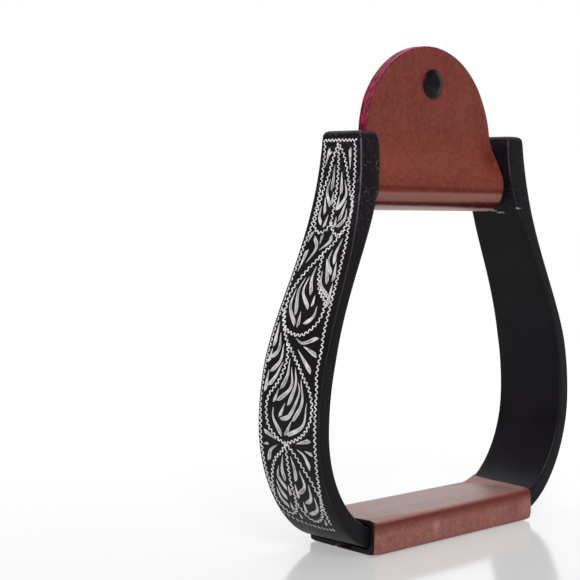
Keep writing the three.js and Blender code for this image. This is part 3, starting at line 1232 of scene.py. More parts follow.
NECK_LEAF = CutPattern(
    wriggles=(
        ((330, 4), (245, 10), (200, 16), (150, 21), (130, 26), (110, 31), (140, 35.5), (220, 37.2),
         (300, 36.5), (350, 34.5), (365, 33)),
        ((330, 4), (430, 8), (500, 13), (545, 17.5), (590, 22), (630, 25), (650, 28), (620, 32),
         (570, 36), (500, 38), (420, 36.5), (370, 33.5)),
        ((335, 5), (355, 12), (365, 20), (365, 30), (370, 34)),
    ),
    feathers=(
        ((290, 12), (290, 21)), ((245, 17), (215, 22), (300, 27)), ((320, 22), (325, 26.5)),
        ((200, 24), (240, 30)), ((170, 27), (165, 31), (220, 34)), ((300, 30.5), (270, 35)),
        ((420, 14.5), (450, 22.5)), ((485, 17.5), (530, 23), (430, 28.5)), ((425, 23), (415, 28.5)),
        ((550, 25), (480, 32.5)), ((570, 28), (560, 32), (470, 35)), ((430, 31), (430, 35)),
    ),
)

SHOULDER_LEAF = CutPattern(
    wriggles=(
        ((600, 36), (560, 37), (500, 39.5), (450, 42), (380, 44), (300, 47.5), (240, 50), (180, 53),
         (130, 56), (95, 59), (80, 62), (85, 66), (100, 69), (150, 73.5), (230, 75.5), (320, 76.3),
         (400, 76)),
        ((365, 45), (365, 48), (375, 52), (410, 56), (450, 59), (500, 61), (550, 62.5), (575, 66),
         (555, 70), (490, 73.5), (400, 76)),
    ),
    feathers=(
        ((95, 41), (125, 37)), ((155, 49), (240, 43), (170, 39)), ((80, 52.5), (120, 44)),
        ((275, 41.5), (280, 38)), ((285, 44), (410, 40.5), (410, 38)), ((590, 39), (535, 45), (550, 48.5)),
        ((480, 43.5), (460, 48), (545, 52.5)), ((430, 47), (525, 56)), ((575, 48), (595, 55)),
        ((415, 51.5), (450, 57), (575, 61)), ((600, 56), (600, 65)), ((220, 54.5), (180, 60), (240, 68.5)),
        ((265, 54), (245, 60), (375, 66)), ((320, 50), (305, 55), (355, 60.5)),
        ((140, 59), (140, 66), (265, 72.5)), ((415, 61), (415, 65)), ((480, 65), (470, 69), (380, 72)),
        ((295, 67.5), (310, 73)),
    ),
)

MIDDLE_LEAF = CutPattern(
    wriggles=(
        ((60, 67), (110, 71.5), (160, 75), (230, 79), (310, 82), (380, 85), (450, 88), (520, 91.5),
         (580, 94), (630, 97.5), (655, 101), (650, 105), (610, 109), (540, 112), (450, 114), (345, 115.5)),
        ((240, 79.5), (265, 82), (280, 85), (265, 89), (230, 93), (180, 96), (130, 98.5), (105, 102),
         (110, 106), (140, 110), (200, 112.5), (270, 114.5), (345, 115.5)),
    ),
    feathers=(
        ((70, 72), (85, 81)), ((125, 76), (155, 82), (90, 85.5)), ((75, 82), (65, 87)),
        ((200, 80), (205, 86), (115, 90.5)), ((240, 86.5), (180, 92), (110, 95.5)), ((85, 90), (75, 97.5)),
        ((330, 77.5), (430, 79), (590, 76.5)), ((440, 80), (620, 83)), ((385, 81.5), (590, 89)),
        ((315, 85), (320, 91), (270, 96)), ((355, 88), (385, 95), (240, 100.5)), ((240, 96), (195, 101)),
        ((400, 88), (435, 94), (375, 101.5)), ((460, 93), (490, 97), (400, 105), (290, 107)),
        ((330, 101), (275, 106)), ((490, 92), (535, 100), (440, 107)),
        ((590, 100), (560, 108), (370, 112.5)), ((190, 103), (200, 107), (300, 112.5)),
        ((420, 107), (350, 112.5)),
    ),
)

TREAD_LEAF = CutPattern(
    wriggles=(
        ((345, 115.5), (280, 119), (215, 121), (160, 124), (120, 127.5), (90, 131), (70, 134), (50, 137),
         (60, 142), (130, 146), (200, 145.5), (260, 143), (300, 139)),
        ((345, 115.5), (420, 118), (480, 121), (540, 125), (590, 128.5), (615, 132), (640, 135.5),
         (600, 140), (560, 144), (500, 146.5), (420, 148), (360, 146.5), (325, 143), (300, 139)),
        ((345, 117), (340, 124), (325, 130), (320, 136), (300, 139)),
    ),
    feathers=(
        ((295, 120), (255, 126), (265, 130)), ((220, 124.5), (185, 129), (245, 134)),
        ((280, 132), (270, 136.5)), ((145, 130.5), (160, 135), (200, 138.5)),
        ((115, 134), (120, 139), (175, 142.5)), ((220, 140), (210, 144)),
        ((390, 120), (415, 125), (400, 129.5)), ((470, 125), (490, 131), (390, 135)),
        ((370, 131), (365, 137)), ((545, 130), (520, 136), (435, 139)),
        ((570, 135), (540, 141), (410, 144.5)), ((400, 138.5), (375, 144)), ((235, 114.5), (85, 112)),
        ((70, 117), (125, 116.5)), ((240, 116.5), (150, 119), (110, 123)), ((470, 115), (640, 113)),
        ((480, 117), (560, 119), (610, 123.5)), ((570, 117), (660, 118)), ((265, 145), (260, 148)),
        ((570, 145.5), (540, 149)),
    ),
)


@dataclass
class Engraving:
    """The bright-cut leaves and borders on the outer face of the -X arm, as fine cuts with raised lips."""

    patterns: tuple[CutPattern, ...] = (BORDERS, NECK_LEAF, SHOULDER_LEAF, MIDDLE_LEAF, TREAD_LEAF)
    units_across: float = 744.0
    curve_steps: tuple[int, int, int] = (40, 160, 260)
    path_steps: int = 160
    slope_step: float = 0.4 * MM
    wriggle_period: float = 2.0 * MM
    wriggle_swing: float = 0.54 * MM
    neck_fineness: float = 0.25
    wriggle_half: float = 0.13 * MM
    wriggle_swell: float = 0.09 * MM
    steps_each_period: int = 10
    dash_pitch: float = 1.85 * MM
    dash_reach: float = 0.72 * MM
    dash_half: float = 0.23 * MM
    dash_slant: Point2 = (-0.4, 0.92)
    dash_steps: int = 5
    feather_half: float = 0.44 * MM
    feather_gain: float = 0.042
    feather_most: float = 0.8 * MM
    feather_full_at: float = 0.8
    feather_swell: float = 0.75
    feather_narrowing: float = 0.42
    feather_blunt: float = 2.5
    feather_tip: float = 0.06
    feather_slant: float = 0.6
    feather_steps: int = 18
    lip_share: float = 0.3
    floor_lift: float = 0.03 * MM
    lip_lift: float = 0.09 * MM
    root: float = -0.12 * MM
    floor_side: int = 2
    edge_margin: float = 1.0 * MM
    sharp_angle: float = 25.0
    bright: BrightCutMetal = field(default_factory=BrightCutMetal)
    # a darker copy of the cut metal for the feathers' floors: painted shade in the cuts
    grey: BrightCutMetal = field(
        default_factory=lambda: BrightCutMetal(
            name="shaded_floor_cut_metal",
            colour=(0.7, 0.68, 0.67),
            shaded=(0.2, 0.185, 0.185),
            patches=Cloud(210, 3, 0.6, 0.32, 0.62),
        )
    )

    def __post_init__(self) -> None:
        """Lays out the outer curve from the arm's top downwards."""
        outer, _ = BELL.half_run(*self.curve_steps)
        self._line = outer[::-1] * np.array([-1, 1])
        self._reach = lengths_along(self._line)

    def _depth(self, down: np.ndarray) -> np.ndarray:
        """The casting's depth at distances down the outer curve."""
        return BELL.depth(np.interp(down, self._reach, self._line[:, 1]))

    def _at(self, down: np.ndarray) -> np.ndarray:
        """The outer curve's points, as (x, z), at distances down it."""
        return np.column_stack([np.interp(down, self._reach, self._line[:, axis]) for axis in (0, 1)])

    def _flat(self, path: Path2, steps: int) -> np.ndarray:
        """A path of the pattern, laid out flat and smoothed.

        Args:
            path: its points in the pattern's units.
            steps: the number of points wanted.

        Returns:
            The points as (y, distance down the curve) in metres.
        """
        spots = np.asarray(path, float)
        down = spots[:, 1] * MM
        across = self._depth(down) / 2 * (1 - 2 * spots[:, 0] / self.units_across)
        return smooth_path(np.column_stack([across, down]), steps)

    def _bend(self, flat: np.ndarray, lift: float) -> np.ndarray:
        """Points of the flat layout set on the arm's outer face.

        Args:
            flat: points as (y, distance down the curve).
            lift: how far they stand off the face.

        Returns:
            The points in space.
        """
        x, z = self._at(flat[:, 1]).T
        along = unit(self._at(flat[:, 1] + self.slope_step) - self._at(flat[:, 1] - self.slope_step))
        margin = BELL.depth(z) / 2 - self.edge_margin
        y = np.clip(flat[:, 0], -margin, margin)
        return np.column_stack([x + along[:, 1] * lift, y, z - along[:, 0] * lift])

    @staticmethod
    def _directions(line: np.ndarray) -> tuple[np.ndarray, np.ndarray]:
        """The directions along a flat line and to its right, at each of its points."""
        along = unit(np.gradient(line, axis=0))
        return along, np.column_stack([along[:, 1], -along[:, 0]])

    def _cut(
        self, line: np.ndarray, half: np.ndarray, skew: np.ndarray | float = 0.0, floor_kind: int = 0
    ) -> Cut:
        """One closed cut along a flat line.

        Args:
            line: its middle points.
            half: half its width at each of them.
            skew: how far its right side runs ahead of its left one, in metres.
            floor_kind: the material of its floor; its lips have material 0.

        Returns:
            Its points in space, its faces and the material of each face.
        """
        along, side = self._directions(line)
        inner = 1 - self.lip_share
        profile = (
            (-1, self.root),
            (-1, self.lip_lift),
            (-inner, self.floor_lift),
            (inner, self.floor_lift),
            (1, self.lip_lift),
            (1, self.root),
        )
        lines = []
        for offset, lift in profile:
            shifted = line + side * (half * offset)[:, None] + along * np.reshape(skew * offset, (-1, 1))
            lines.append(self._bend(shifted, lift))
        faces = ring_faces(len(line), len(profile))
        walls = range(len(faces) - 2)
        kinds = [floor_kind if wall % len(profile) == self.floor_side else 0 for wall in walls]
        return np.stack(lines, axis=1).reshape(-1, 3), faces, [*kinds, 0, 0]

    def _wriggle(self, path: Path2) -> Cut:
        """A line cut by rocking the graver from side to side, finer where the face is narrower.

        Args:
            path: its points in the pattern's units.

        Returns:
            The cut.
        """
        coarse = self._flat(path, self.path_steps)
        size = (self._depth(coarse[:, 1]) / BELL.body_depth) ** self.neck_fineness
        lengths = np.linalg.norm(np.diff(coarse, axis=0), axis=1)
        periods_each = lengths / (self.wriggle_period * (size[1:] + size[:-1]) / 2)
        turns = np.concatenate([[0], np.cumsum(periods_each)])
        periods = round(turns[-1])
        wanted = np.linspace(0, turns[-1], periods * self.steps_each_period + 1)
        line = np.column_stack([np.interp(wanted, turns, coarse[:, axis]) for axis in (0, 1)])
        phase = np.linspace(0, 2 * math.pi * periods, len(line))
        size = np.interp(wanted, turns, size)
        _, side = self._directions(line)
        swung = line + side * (np.sin(phase) * size * self.wriggle_swing)[:, None]
        return self._cut(swung, (self.wriggle_half + self.wriggle_swell * np.abs(np.cos(phase))) * size)

    def _dashes(self, path: Path2) -> list[Cut]:
        """A row of short slanted cuts.

        Args:
            path: the row's points in the pattern's units.

        Returns:
            The cuts.
        """
        coarse = self._flat(path, self.path_steps)
        slant = np.array(self.dash_slant) * self.dash_reach
        middles = even_steps(coarse, round(lengths_along(coarse)[-1] / self.dash_pitch))
        share = np.linspace(-1, 1, self.dash_steps)[:, None]
        half = np.full(self.dash_steps, self.dash_half)
        return [self._cut(middle + share * slant, half) for middle in middles]

    def _feather(self, path: Path2) -> Cut:
        """A stroke that swells from a point to a blunt slanted end.

        Args:
            path: its points in the pattern's units.

        Returns:
            The cut.
        """
        line = self._flat(path, self.feather_steps)
        full = min(self.feather_half + self.feather_gain * lengths_along(line)[-1], self.feather_most)
        full *= math.sqrt(float(self._depth(line[-1, 1])) / BELL.body_depth)
        share = np.linspace(0, 1, self.feather_steps)
        rise = np.clip(share / self.feather_full_at, 0, 1) ** self.feather_swell
        fall = np.clip((share - self.feather_full_at) / (1 - self.feather_full_at), 0, 1)
        narrowed = rise * (1 - self.feather_narrowing * fall**self.feather_blunt)
        half = full * np.maximum(narrowed, self.feather_tip)
        # the feather's floor wears the darker copy of the cut metal, as painted shade
        return self._cut(line, half, self.feather_slant * full * fall, 1)

    def build(self) -> bpy.types.Object:
        """All cuts in one mesh.

        Returns:
            The engraving.
        """
        cuts: list[Cut] = []
        for pattern in self.patterns:
            cuts += [self._wriggle(path) for path in pattern.wriggles]
            cuts += [self._feather(path) for path in pattern.feathers]
            cuts += [cut for path in pattern.dashes for cut in self._dashes(path)]
        faces: list[list[int]] = []
        count = 0
        for points, cut_faces, _ in cuts:
            faces += [[corner + count for corner in face] for face in cut_faces]
            count += len(points)
        kinds = [kind for _, _, cut_kinds in cuts for kind in cut_kinds]
        finishes = [self.bright.material(), self.grey.material()]
        return finish_mesh("arm_engraving", np.vstack([cut[0] for cut in cuts]), faces, finishes, kinds)

    def dress(self, made: bpy.types.Object) -> list[bpy.types.Object]:
        """Puts the engraving on the casting's body.

        Args:
            made: the engraving.

        Returns:
            The dressed pieces.
        """
        made.data.set_sharp_from_angle(angle=math.radians(self.sharp_angle))
        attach(made, Body.STIRRUP.value)
        return [made]


@dataclass
class HideShape:
    """A flat piece of leather with rounded edges, given row by row and bent into place."""

    thickness: float
    edge_round: float
    columns: int
    arc_steps: int = 4

    def mesh(
        self,
        name: str,
        rows: Sequence[tuple[float, float]],
        place: Callable[[float, float, float], Triple],
        finishes: Sequence[bpy.types.Material],
    ) -> bpy.types.Object:
        """Builds the closed piece.

        Args:
            name: the piece's name.
            rows: (distance along the strip, half width) for each row.
            place: bends a flat point (across, along, level) into space, level 1 outside and -1 inside.
            finishes: the face's material and the edge's.

        Returns:
            The linked object.
        """
        ends = np.array([[(-half, along), (half, along)] for along, half in rows])
        share = np.linspace(0, 1, self.columns + 1)[None, :, None]
        face_grid, full_grid = (
            side[:, :1] + share * (side[:, 1:] - side[:, :1]) for side in (self._inset(ends), ends)
        )
        points: list[Triple] = []
        faces: list[list[int]] = []
        width = self.columns + 1
        for level in (1.0, -1.0):
            start = len(points)
            points += [place(across, along, level) for across, along in face_grid.reshape(-1, 2)]
            for row in range(len(rows) - 1):
                for column in range(self.columns):
                    a = start + row * width + column
                    faces.append([a, a + 1, a + 1 + width, a + width])
        kinds = [0] * len(faces)
        start = len(points)
        levels, border = self._edge_levels(), self._border(len(rows) - 1)
        for out_share, level in levels:
            for spot in border:
                across, along = face_grid[spot] + (full_grid[spot] - face_grid[spot]) * out_share
                points.append(place(across, along, level))
        around = ring_faces(len(levels), len(border), capped=False)
        faces += [[corner + start for corner in face] for face in around]
        kinds += [1] * len(around)
        return finish_mesh(name, np.array(points), faces, finishes, kinds)

    def _border(self, last: int) -> list[tuple[int, int]]:
        """The grid's outermost spots in order.

        Args:
            last: the number of the last row.

        Returns:
            Their rows and columns.
        """
        spots = [(0, column) for column in range(self.columns + 1)]
        spots += [(row, self.columns) for row in range(1, last + 1)]
        spots += [(last, column) for column in range(self.columns - 1, -1, -1)]
        return spots + [(row, 0) for row in range(last - 1, 0, -1)]

    def _edge_levels(self) -> list[tuple[float, float]]:
        """The rings round the edge.

        Returns:
            How far out each lies, from 0 to 1, and at which level.
        """
        half = self.thickness / 2
        levels = []
        for turn in np.linspace(math.pi / 2, 0, self.arc_steps + 1):
            height = half - self.edge_round + self.edge_round * math.sin(turn)
            levels.append((math.cos(turn), height / half))
        return levels + [(out, -level) for out, level in reversed(levels)]

    def _inset(self, ends: np.ndarray) -> np.ndarray:
        """The rows' ends drawn in by the rounding, square to the outline.

        Args:
            ends: the left and right end of each row.

        Returns:
            The new ends.
        """
        last = len(ends) - 1
        made = ends.copy()
        for row in range(last + 1):
            before, after = ends[max(row - 1, 0), 1], ends[min(row + 1, last), 1]
            along = unit(after - before)
            normal = np.array([along[1], -along[0]])
            if row in (0, last):
                end = np.array([0.0, -1.0 if row == 0 else 1.0])
                wide = ends[row, 1, 0] > self.edge_round
                normal = normal + end if wide else end
            made[row, 1] = ends[row, 1] - normal * self.edge_round
            made[row, 0] = made[row, 1] * np.array([-1, 1])
            if made[row, 1, 0] < 0:
                made[row, :, 0] = 0
        return made


@dataclass
class NeckLeather:
    """The strip folded round the roller, closed into two leaves above it and cut to a round top."""

    thickness: float = 2.2 * MM
    roll_bore: float = 6.7 * MM
    leaves_meet: float = 16 * MM
    bend_reach: float = 5 * MM
    flap_radius: float = 36.2 * MM
    flap_centre: float = 151.6 * MM
    flap_lean: float = -1.2 * MM
    lean_starts: float = 12 * MM
    lean_reach: float = 20 * MM
    flare: float = 11 * MM
    edge_round: float = 0.6 * MM
    seam_gap: float = 0.03 * MM
    waviness: float = 0.12 * MM
    waves_each_metre: float = 30.0
    wave_place: float = 4.0
    rivet_press: float = 0.14
    rivet_reach: float = 6.5 * MM
    sag_left: float = 0.55 * MM
    sag_right: float = 1.6 * MM
    sag_reach: float = 6 * MM
    leaf_steps: int = 40
    bend_steps: int = 14
    slope_steps: int = 10
    roll_steps: int = 34
    top_rows: int = 30
    top_end: float = 0.12
    other_rows: int = 62
    columns: int = 34
    hide: BrownLeather = field(
        default_factory=lambda: BrownLeather(
            marks_and_painted_light=(
                # painted shade: a dark line along the front of the roll
                Mark((0, 0, 0.1333), (1, 1, 0.0013), (0.105, 0.006, 0.0), core=0.25, fall=0.0215),
                # painted highlight: a pale band on the roll just below that line
                SoftMark((0, 0, 0.1302), (1, 1, 0.0021), (0.235, 0.092, 0.076), 0.95, 0.6, 0.0115),
                # painted reflection of the floor: a pale band along the bottom of the roll
                SoftMark((0, 0, 0.12355), (1, 1, 0.0036), (0.46, 0.32, 0.31), 0.95, 0.72, 0.0246),
                # painted shade: a dark line on the roll between the two pale bands
                Mark((0, 0, 0.1276), (1, 1, 0.0009), (0.06, 0.002, 0.0), core=0.45, fall=0.0177),
                # painted shade: the same dark line made wider towards +X
                Mark((0.03, 0, 0.1271), (0.028, 1, 0.0016), (0.06, 0.002, 0.0), core=0.5, fall=0.02),
                Mark((0.033, 0, 0.146), (0.0075, 1, 0.0085), strength=0.9, core=0.15),
                Mark((-0.0365, 0, 0.144), (0.006, 1, 0.01), strength=0.6, core=0.1),
            ),
            haze=0.16,
        )
    )
    edge: PaintedEdge = field(default_factory=PaintedEdge)

    def _side_lines(self) -> tuple[np.ndarray, np.ndarray]:
        """The back half of the strip from its side, from the leaf's top to the bottom of the roll.

        Returns:
            The outer and the inner line as (y, z), with the same number of points.
        """
        angle = math.acos(self.roll_bore / self.leaves_meet)
        across, along = math.sin(angle), math.cos(angle)
        thick = self.thickness
        roll = self.roll_bore + thick
        outer_bend = (roll - thick * across) / along
        top = self.flap_centre + self.flap_radius - BELL.pin_height
        lines = []
        for offset, bend, radius in ((thick, outer_bend, roll), (0.0, self.leaves_meet, self.roll_bore)):
            start, middle = np.array([offset, bend + self.bend_reach]), np.array([offset, bend])
            heights = np.linspace(top, bend + self.bend_reach, self.leaf_steps)
            leaf = np.column_stack([np.full(self.leaf_steps, offset), heights])
            entry = np.array([offset + self.bend_reach * along, bend - self.bend_reach * across])
            share = np.linspace(0, 1, self.bend_steps)[1:, None]
            curve = start * (1 - share) ** 2 + 2 * middle * share * (1 - share) + entry * share**2
            tangent = np.array([radius * across, radius * along])
            slope = entry + np.linspace(0, 1, self.slope_steps)[1:, None] * (tangent - entry)
            turns = np.linspace(math.atan2(tangent[1], tangent[0]), -math.pi / 2, self.roll_steps)[1:]
            arc = np.column_stack([radius * np.cos(turns), radius * np.sin(turns)])
            lines.append(np.vstack([leaf, curve, slope, arc]) + np.array([0, BELL.pin_height]))
        return lines[0], lines[1]

    def _strip(self) -> tuple[np.ndarray, np.ndarray, np.ndarray]:
        """The whole strip from its side.

        Returns:
            Its middle line, its outward half thickness, and the distance along it.
        """
        outer, inner = self._side_lines()
        inner[:, 0] += self.seam_gap
        flip = np.array([-1, 1])
        outer, inner = (np.vstack([line * flip, line[-2::-1]]) for line in (outer, inner))
        middle = (outer + inner) / 2
        return middle, (outer - inner) / 2, lengths_along(middle)

    def _half_width(self, height: float) -> float:
        """Half the leather's width at a height.

        Args:
            height: the height above the floor.

        Returns:
            The half width.
        """
        roll_half = BELL.roll_half()
        if height < self.flap_centre:
            ease = eased((height - self.flap_centre + self.flare) / self.flare)
            return roll_half + (self.flap_radius - roll_half) * ease
        rise = min(height - self.flap_centre, self.flap_radius)
        return math.sqrt(max(self.flap_radius**2 - rise**2, 0))

    def _rows(self, middle: np.ndarray, reach: np.ndarray) -> list[tuple[float, float]]:
        """The strip's rows, closest where the top is round.

        Args:
            middle: the strip's middle line.
            reach: the distance along it.

        Returns:
            The distance and half width of each row.
        """
        turns = np.linspace(math.pi / 2, self.top_end, self.top_rows)
        top = [(self.flap_radius * (1 - math.sin(turn)), self.flap_radius * math.cos(turn)) for turn in turns]
        rest = np.linspace(top[-1][0], reach[-1] / 2, self.other_rows)[1:]
        heights = np.interp(rest, reach, middle[:, 1])
        half = top + [(along, self._half_width(height)) for along, height in zip(rest, heights)]
        return half + [(reach[-1] - along, width) for along, width in half[-2::-1]]

    def build(self) -> bpy.types.Object:
        """The folded leather's mesh.

        Returns:
            The leather.
        """
        middle, thick, reach = self._strip()
        roll_half = BELL.roll_half()

        def place(across: float, along: float, level: float) -> Triple:
            """Bends one flat point round the roller.

            Args:
                across: how far it lies from the strip's middle.
                along: how far along the strip.
                level: 1 on the outside, -1 inside.

            Returns:
                The point in space.
            """
            y, z = (float(np.interp(along, reach, middle[:, axis])) for axis in (0, 1))
            ty, tz = (float(np.interp(along, reach, thick[:, axis])) for axis in (0, 1))
            press = math.exp(-((math.hypot(across, z - RIVET_HEIGHT) / self.rivet_reach) ** 2))
            hold = level * (1 - self.rivet_press * press) if level > 0 else level
            spot = Vector((across * self.waves_each_metre, z * self.waves_each_metre, self.wave_place))
            wave = noise.noise(spot) * self.waviness
            lift = clamp((z - BELL.pin_height - self.lean_starts) / self.lean_reach)
            sag = self.sag_left + (self.sag_right - self.sag_left) * (across / roll_half + 1) / 2
            down = sag * eased((BELL.pin_height - z) / self.sag_reach)
            return across + self.flap_lean * lift, y + ty * hold + wave * lift, z + tz * hold - down

        shape = HideShape(self.thickness, self.edge_round, self.columns)
        finishes = [self.hide.material(), self.edge.material()]
        return shape.mesh("neck_leather_strip", self._rows(middle, reach), place, finishes)

    def dress(self, made: bpy.types.Object) -> list[bpy.types.Object]:
        """Puts the leather on its body.

        Args:
            made: the leather.

        Returns:
            The dressed pieces.
        """
        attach(made, Body.FLAP.value)
        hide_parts("neck_leather")
        return [made]


@dataclass
class TreadLeather:
    """The cover wrapped round the tread, with its thinned ends lapped beneath."""

    half_length: float = 47.4 * MM
    front_ends: Point2 = (-47.4 * MM, 46.5 * MM)
    back_ends: Point2 = (-44.3 * MM, 50.8 * MM)
    skive: float = 0.9
    skive_reach: float = 10 * MM
    back_wear_left: float = 0.3
    back_wear_right: float = 0.62
    wear_starts: float = 0.375
    wear_rise: float = 3 * MM
    crispness: float = 0.5
    thickness: float = 2.2 * MM
    gap: float = 0.3 * MM
    corner_round: float = 0.9 * MM
    edge_round: float = 0.5 * MM
    lap_end: float = 2.6 * MM
    lap_length: float = 8 * MM
    lap_gap: float = 0.12 * MM
    waviness: float = 0.1 * MM
    waves_each_metre: Triple = (45, 90, 90)
    side_wave: float = 0.4
    skive_power: float = 1.5
    lap_margin: float = 3 * MM
    step_starts: float = 0.4 * MM
    step_round: float = 0.5 * MM
    step_ends: float = 1.6 * MM
    bend_starts: float = 2.5 * MM
    bend_low: Point2 = (1.2 * MM, 0.1 * MM)
    bend_high: Point2 = (0.2 * MM, 0.2 * MM)
    bend_ends: float = 1 * MM
    flap_short: float = 0.3 * MM
    back_rows: int = 8
    front_rows: int = 7
    corner_rows: int = 9
    side_rows: tuple[int, ...] = (3, 16, 3)
    run_steps: tuple[int, int, int] = (20, 40, 4)
    wall_digits: int = 5
    fit_rounds: int = 2
    columns: int = 72
    hide: BrownLeather = field(
        default_factory=lambda: BrownLeather(
            name="tread_leather",
            colour=(0.21, 0.067, 0.052),
            deep=(0.168, 0.045, 0.034),
            stain=(0.09, 0.012, 0.003),
            marks_and_painted_light=(
                # painted sheen: a greyish painted highlight along the top of the tread
                SoftMark((0, 0.002, 0.0122), (1, 0.0168, 0.0032), (0.136, 0.101, 0.096), 0.6, 0.8),
                # darker at the left end of the top, so that the painted sheen fades there
                SoftMark((-0.041, 0.004, 0.0122), (0.024, 0.022, 0.0032), (0.15, 0.05, 0.04), 0.65, 0.15),
                # darker at the right end of the top, so that the painted sheen fades there
                SoftMark((0.047, 0.002, 0.013), (0.015, 0.022, 0.0045), (0.15, 0.05, 0.04), 0.65, 0.15),
                # a darker red-brown band along the rounded front-top edge
                SoftMark((0, -0.0181, 0.012), (1, 0.0034, 0.0044), (0.088, 0.008, 0.0), 0.97, 0.22),
                SoftMark((0.042, -0.0181, 0.006), (0.006, 0.004, 0.005), (0.33, 0.13, 0.11), 0.5, 0.2),
                Mark((-0.0125, -0.0181, 0.0062), (0.003, 0.003, 0.004), (0.42, 0.22, 0.19), 0.4, 0.2),
            ),
            haze=0.6,
            specular=0.38,
            speck_patches=Cloud(60, 1, 0.5, 0.5, 0.55),
            polished=Mark((0, 0.0015, 0.012), (0.056, 0.0174, 0.0032), core=0.85),
            polish=0.38,
        )
    )
    edge: PaintedEdge = field(
        default_factory=lambda: PaintedEdge(
            name="blacked_edge",
            colour=(0.008, 0.006, 0.007),
            dark=(0.004, 0.003, 0.003),
            worn=(0.02, 0.012, 0.01),
            worn_places=Cloud(110, 4, 0.7, 0.66, 0.78),
            painted=(-1.002, -0.998),
        )
    )

    def _section(self, wall: float) -> tuple[np.ndarray, np.ndarray]:
        """The wrap in section, from the back flap's end beneath, round the bar, to the front flap's end.

        Args:
            wall: the bar's thickness at this place.

        Returns:
            The inner and the outer line as (y, inward).
        """
        half = BELL.body_depth / 2
        near, far = self.gap, self.gap + self.thickness
        middle = -(near + far) / 2
        lap_start = self.lap_end - self.lap_length
        back, front = half - self.corner_round, -half + self.corner_round
        pairs: list[tuple[Sequence[float], Sequence[float]]] = []
        for y, level in (
            (lap_start, middle + self.lap_gap),
            (self.lap_end - self.lap_margin, middle + self.lap_gap),
            (self.lap_end - self.step_starts, middle + self.lap_gap),
            (self.lap_end + self.step_round, -far + self.step_round),
            (self.lap_end + self.step_ends, -far),
        ):
            pairs.append(((y, -near), (y, level)))
        for y in np.linspace(self.lap_end + self.lap_margin, back, self.back_rows):
            pairs.append(((y, -near), (y, -far)))
        pairs += self._round_bar(
            (
                (back, self.corner_round, -math.pi / 2),
                (back, wall - self.corner_round, 0.0),
                (front, wall - self.corner_round, math.pi / 2),
                (front, self.corner_round, math.pi),
            )
        )
        for y in np.linspace(front, lap_start - self.bend_starts, self.front_rows)[1:]:
            pairs.append(((y, -near), (y, -far)))
        for y, level in (
            (lap_start - self.bend_low[0], -near - self.bend_low[1]),
            (lap_start - self.bend_high[0], middle - self.bend_high[1]),
            (lap_start + self.bend_ends, middle - self.lap_gap),
            (self.lap_end - self.lap_margin, middle - self.lap_gap),
            (self.lap_end - self.flap_short, middle - self.lap_gap),
        ):
            pairs.append(((y, level), (y, -far)))
        section = np.array(pairs)
        return section[:, 0], section[:, 1]

    def _round_bar(self, centres: Sequence[Triple]) -> list[tuple[np.ndarray, np.ndarray]]:
        """The wrap round the bar's four corners and along the sides between them.

        Args:
            centres: each corner's middle as (y, inward), and the angle at which its rounding starts.

        Returns:
            Pairs of an inner and an outer point.
        """
        near, far = (self.corner_round + reach for reach in (self.gap, self.gap + self.thickness))
        pairs: list[tuple[np.ndarray, np.ndarray]] = []
        for at, (y, inward, start) in enumerate(centres):
            for turn in np.linspace(start, start + math.pi / 2, self.corner_rows):
                ray = np.array([math.cos(turn), math.sin(turn)])
                reach = far / np.abs(ray).max() ** self.crispness
                pairs.append((np.array([y, inward]) + ray * near, np.array([y, inward]) + ray * reach))
            if at < len(self.side_rows):
                centre, turn = np.array(centres[at + 1][:2]), centres[at + 1][2]
                ray = np.array([math.cos(turn), math.sin(turn)])
                inner, outer = pairs[-1]
                for share in np.linspace(0, 1, self.side_rows[at] + 1)[1:-1]:
                    following = inner + share * (centre + ray * near - inner)
                    pairs.append((following, outer + share * (centre + ray * far - outer)))
        return pairs

    def _thinned(self, share: float, end_share: float, depth_share: float) -> float:
        """How much of its thickness the cover has lost.

        It is skived at the back of its +X end, and worn along the back.

        Args:
            share: how far along the tread, from 0 to 1.
            end_share: the same over the skived reach, below 0 before it.
            depth_share: how far back, from 0 to 1.

        Returns:
            The lost share.
        """
        skived = self.skive * clamp(end_share) ** self.skive_power * clamp(depth_share)
        back = clamp((depth_share - self.wear_starts) / (1 - self.wear_starts))
        worn = back * (self.back_wear_left + (self.back_wear_right - self.back_wear_left) * share)
        return 1 - (1 - skived) * (1 - worn)

    @staticmethod
    def _wall(far: float, outer_run: np.ndarray, inner_run: np.ndarray) -> tuple[np.ndarray, np.ndarray]:
        """The bar's outer and inner point at a distance from its middle.

        Args:
            far: the distance.
            outer_run: the outer outline.
            inner_run: the inner one.

        Returns:
            The two points as (x, z).
        """
        foot, head = (
            np.array([np.interp(far, outer_run[:, 0], run[:, axis]) for axis in (0, 1)])
            for run in (outer_run, inner_run)
        )
        return foot, head

    def build(self) -> bpy.types.Object:
        """The wrapped leather's mesh.

        Returns:
            The cover.
        """
        needed = sum(self.run_steps[:2]) + 1
        outer_run, inner_run = (run[:needed] for run in BELL.half_run(*self.run_steps))
        base_inner, base_outer = self._section(BELL.tread_wall)
        middle = (base_inner + base_outer) / 2
        reach = lengths_along(middle)
        sections: dict[float, tuple[np.ndarray, np.ndarray]] = {}

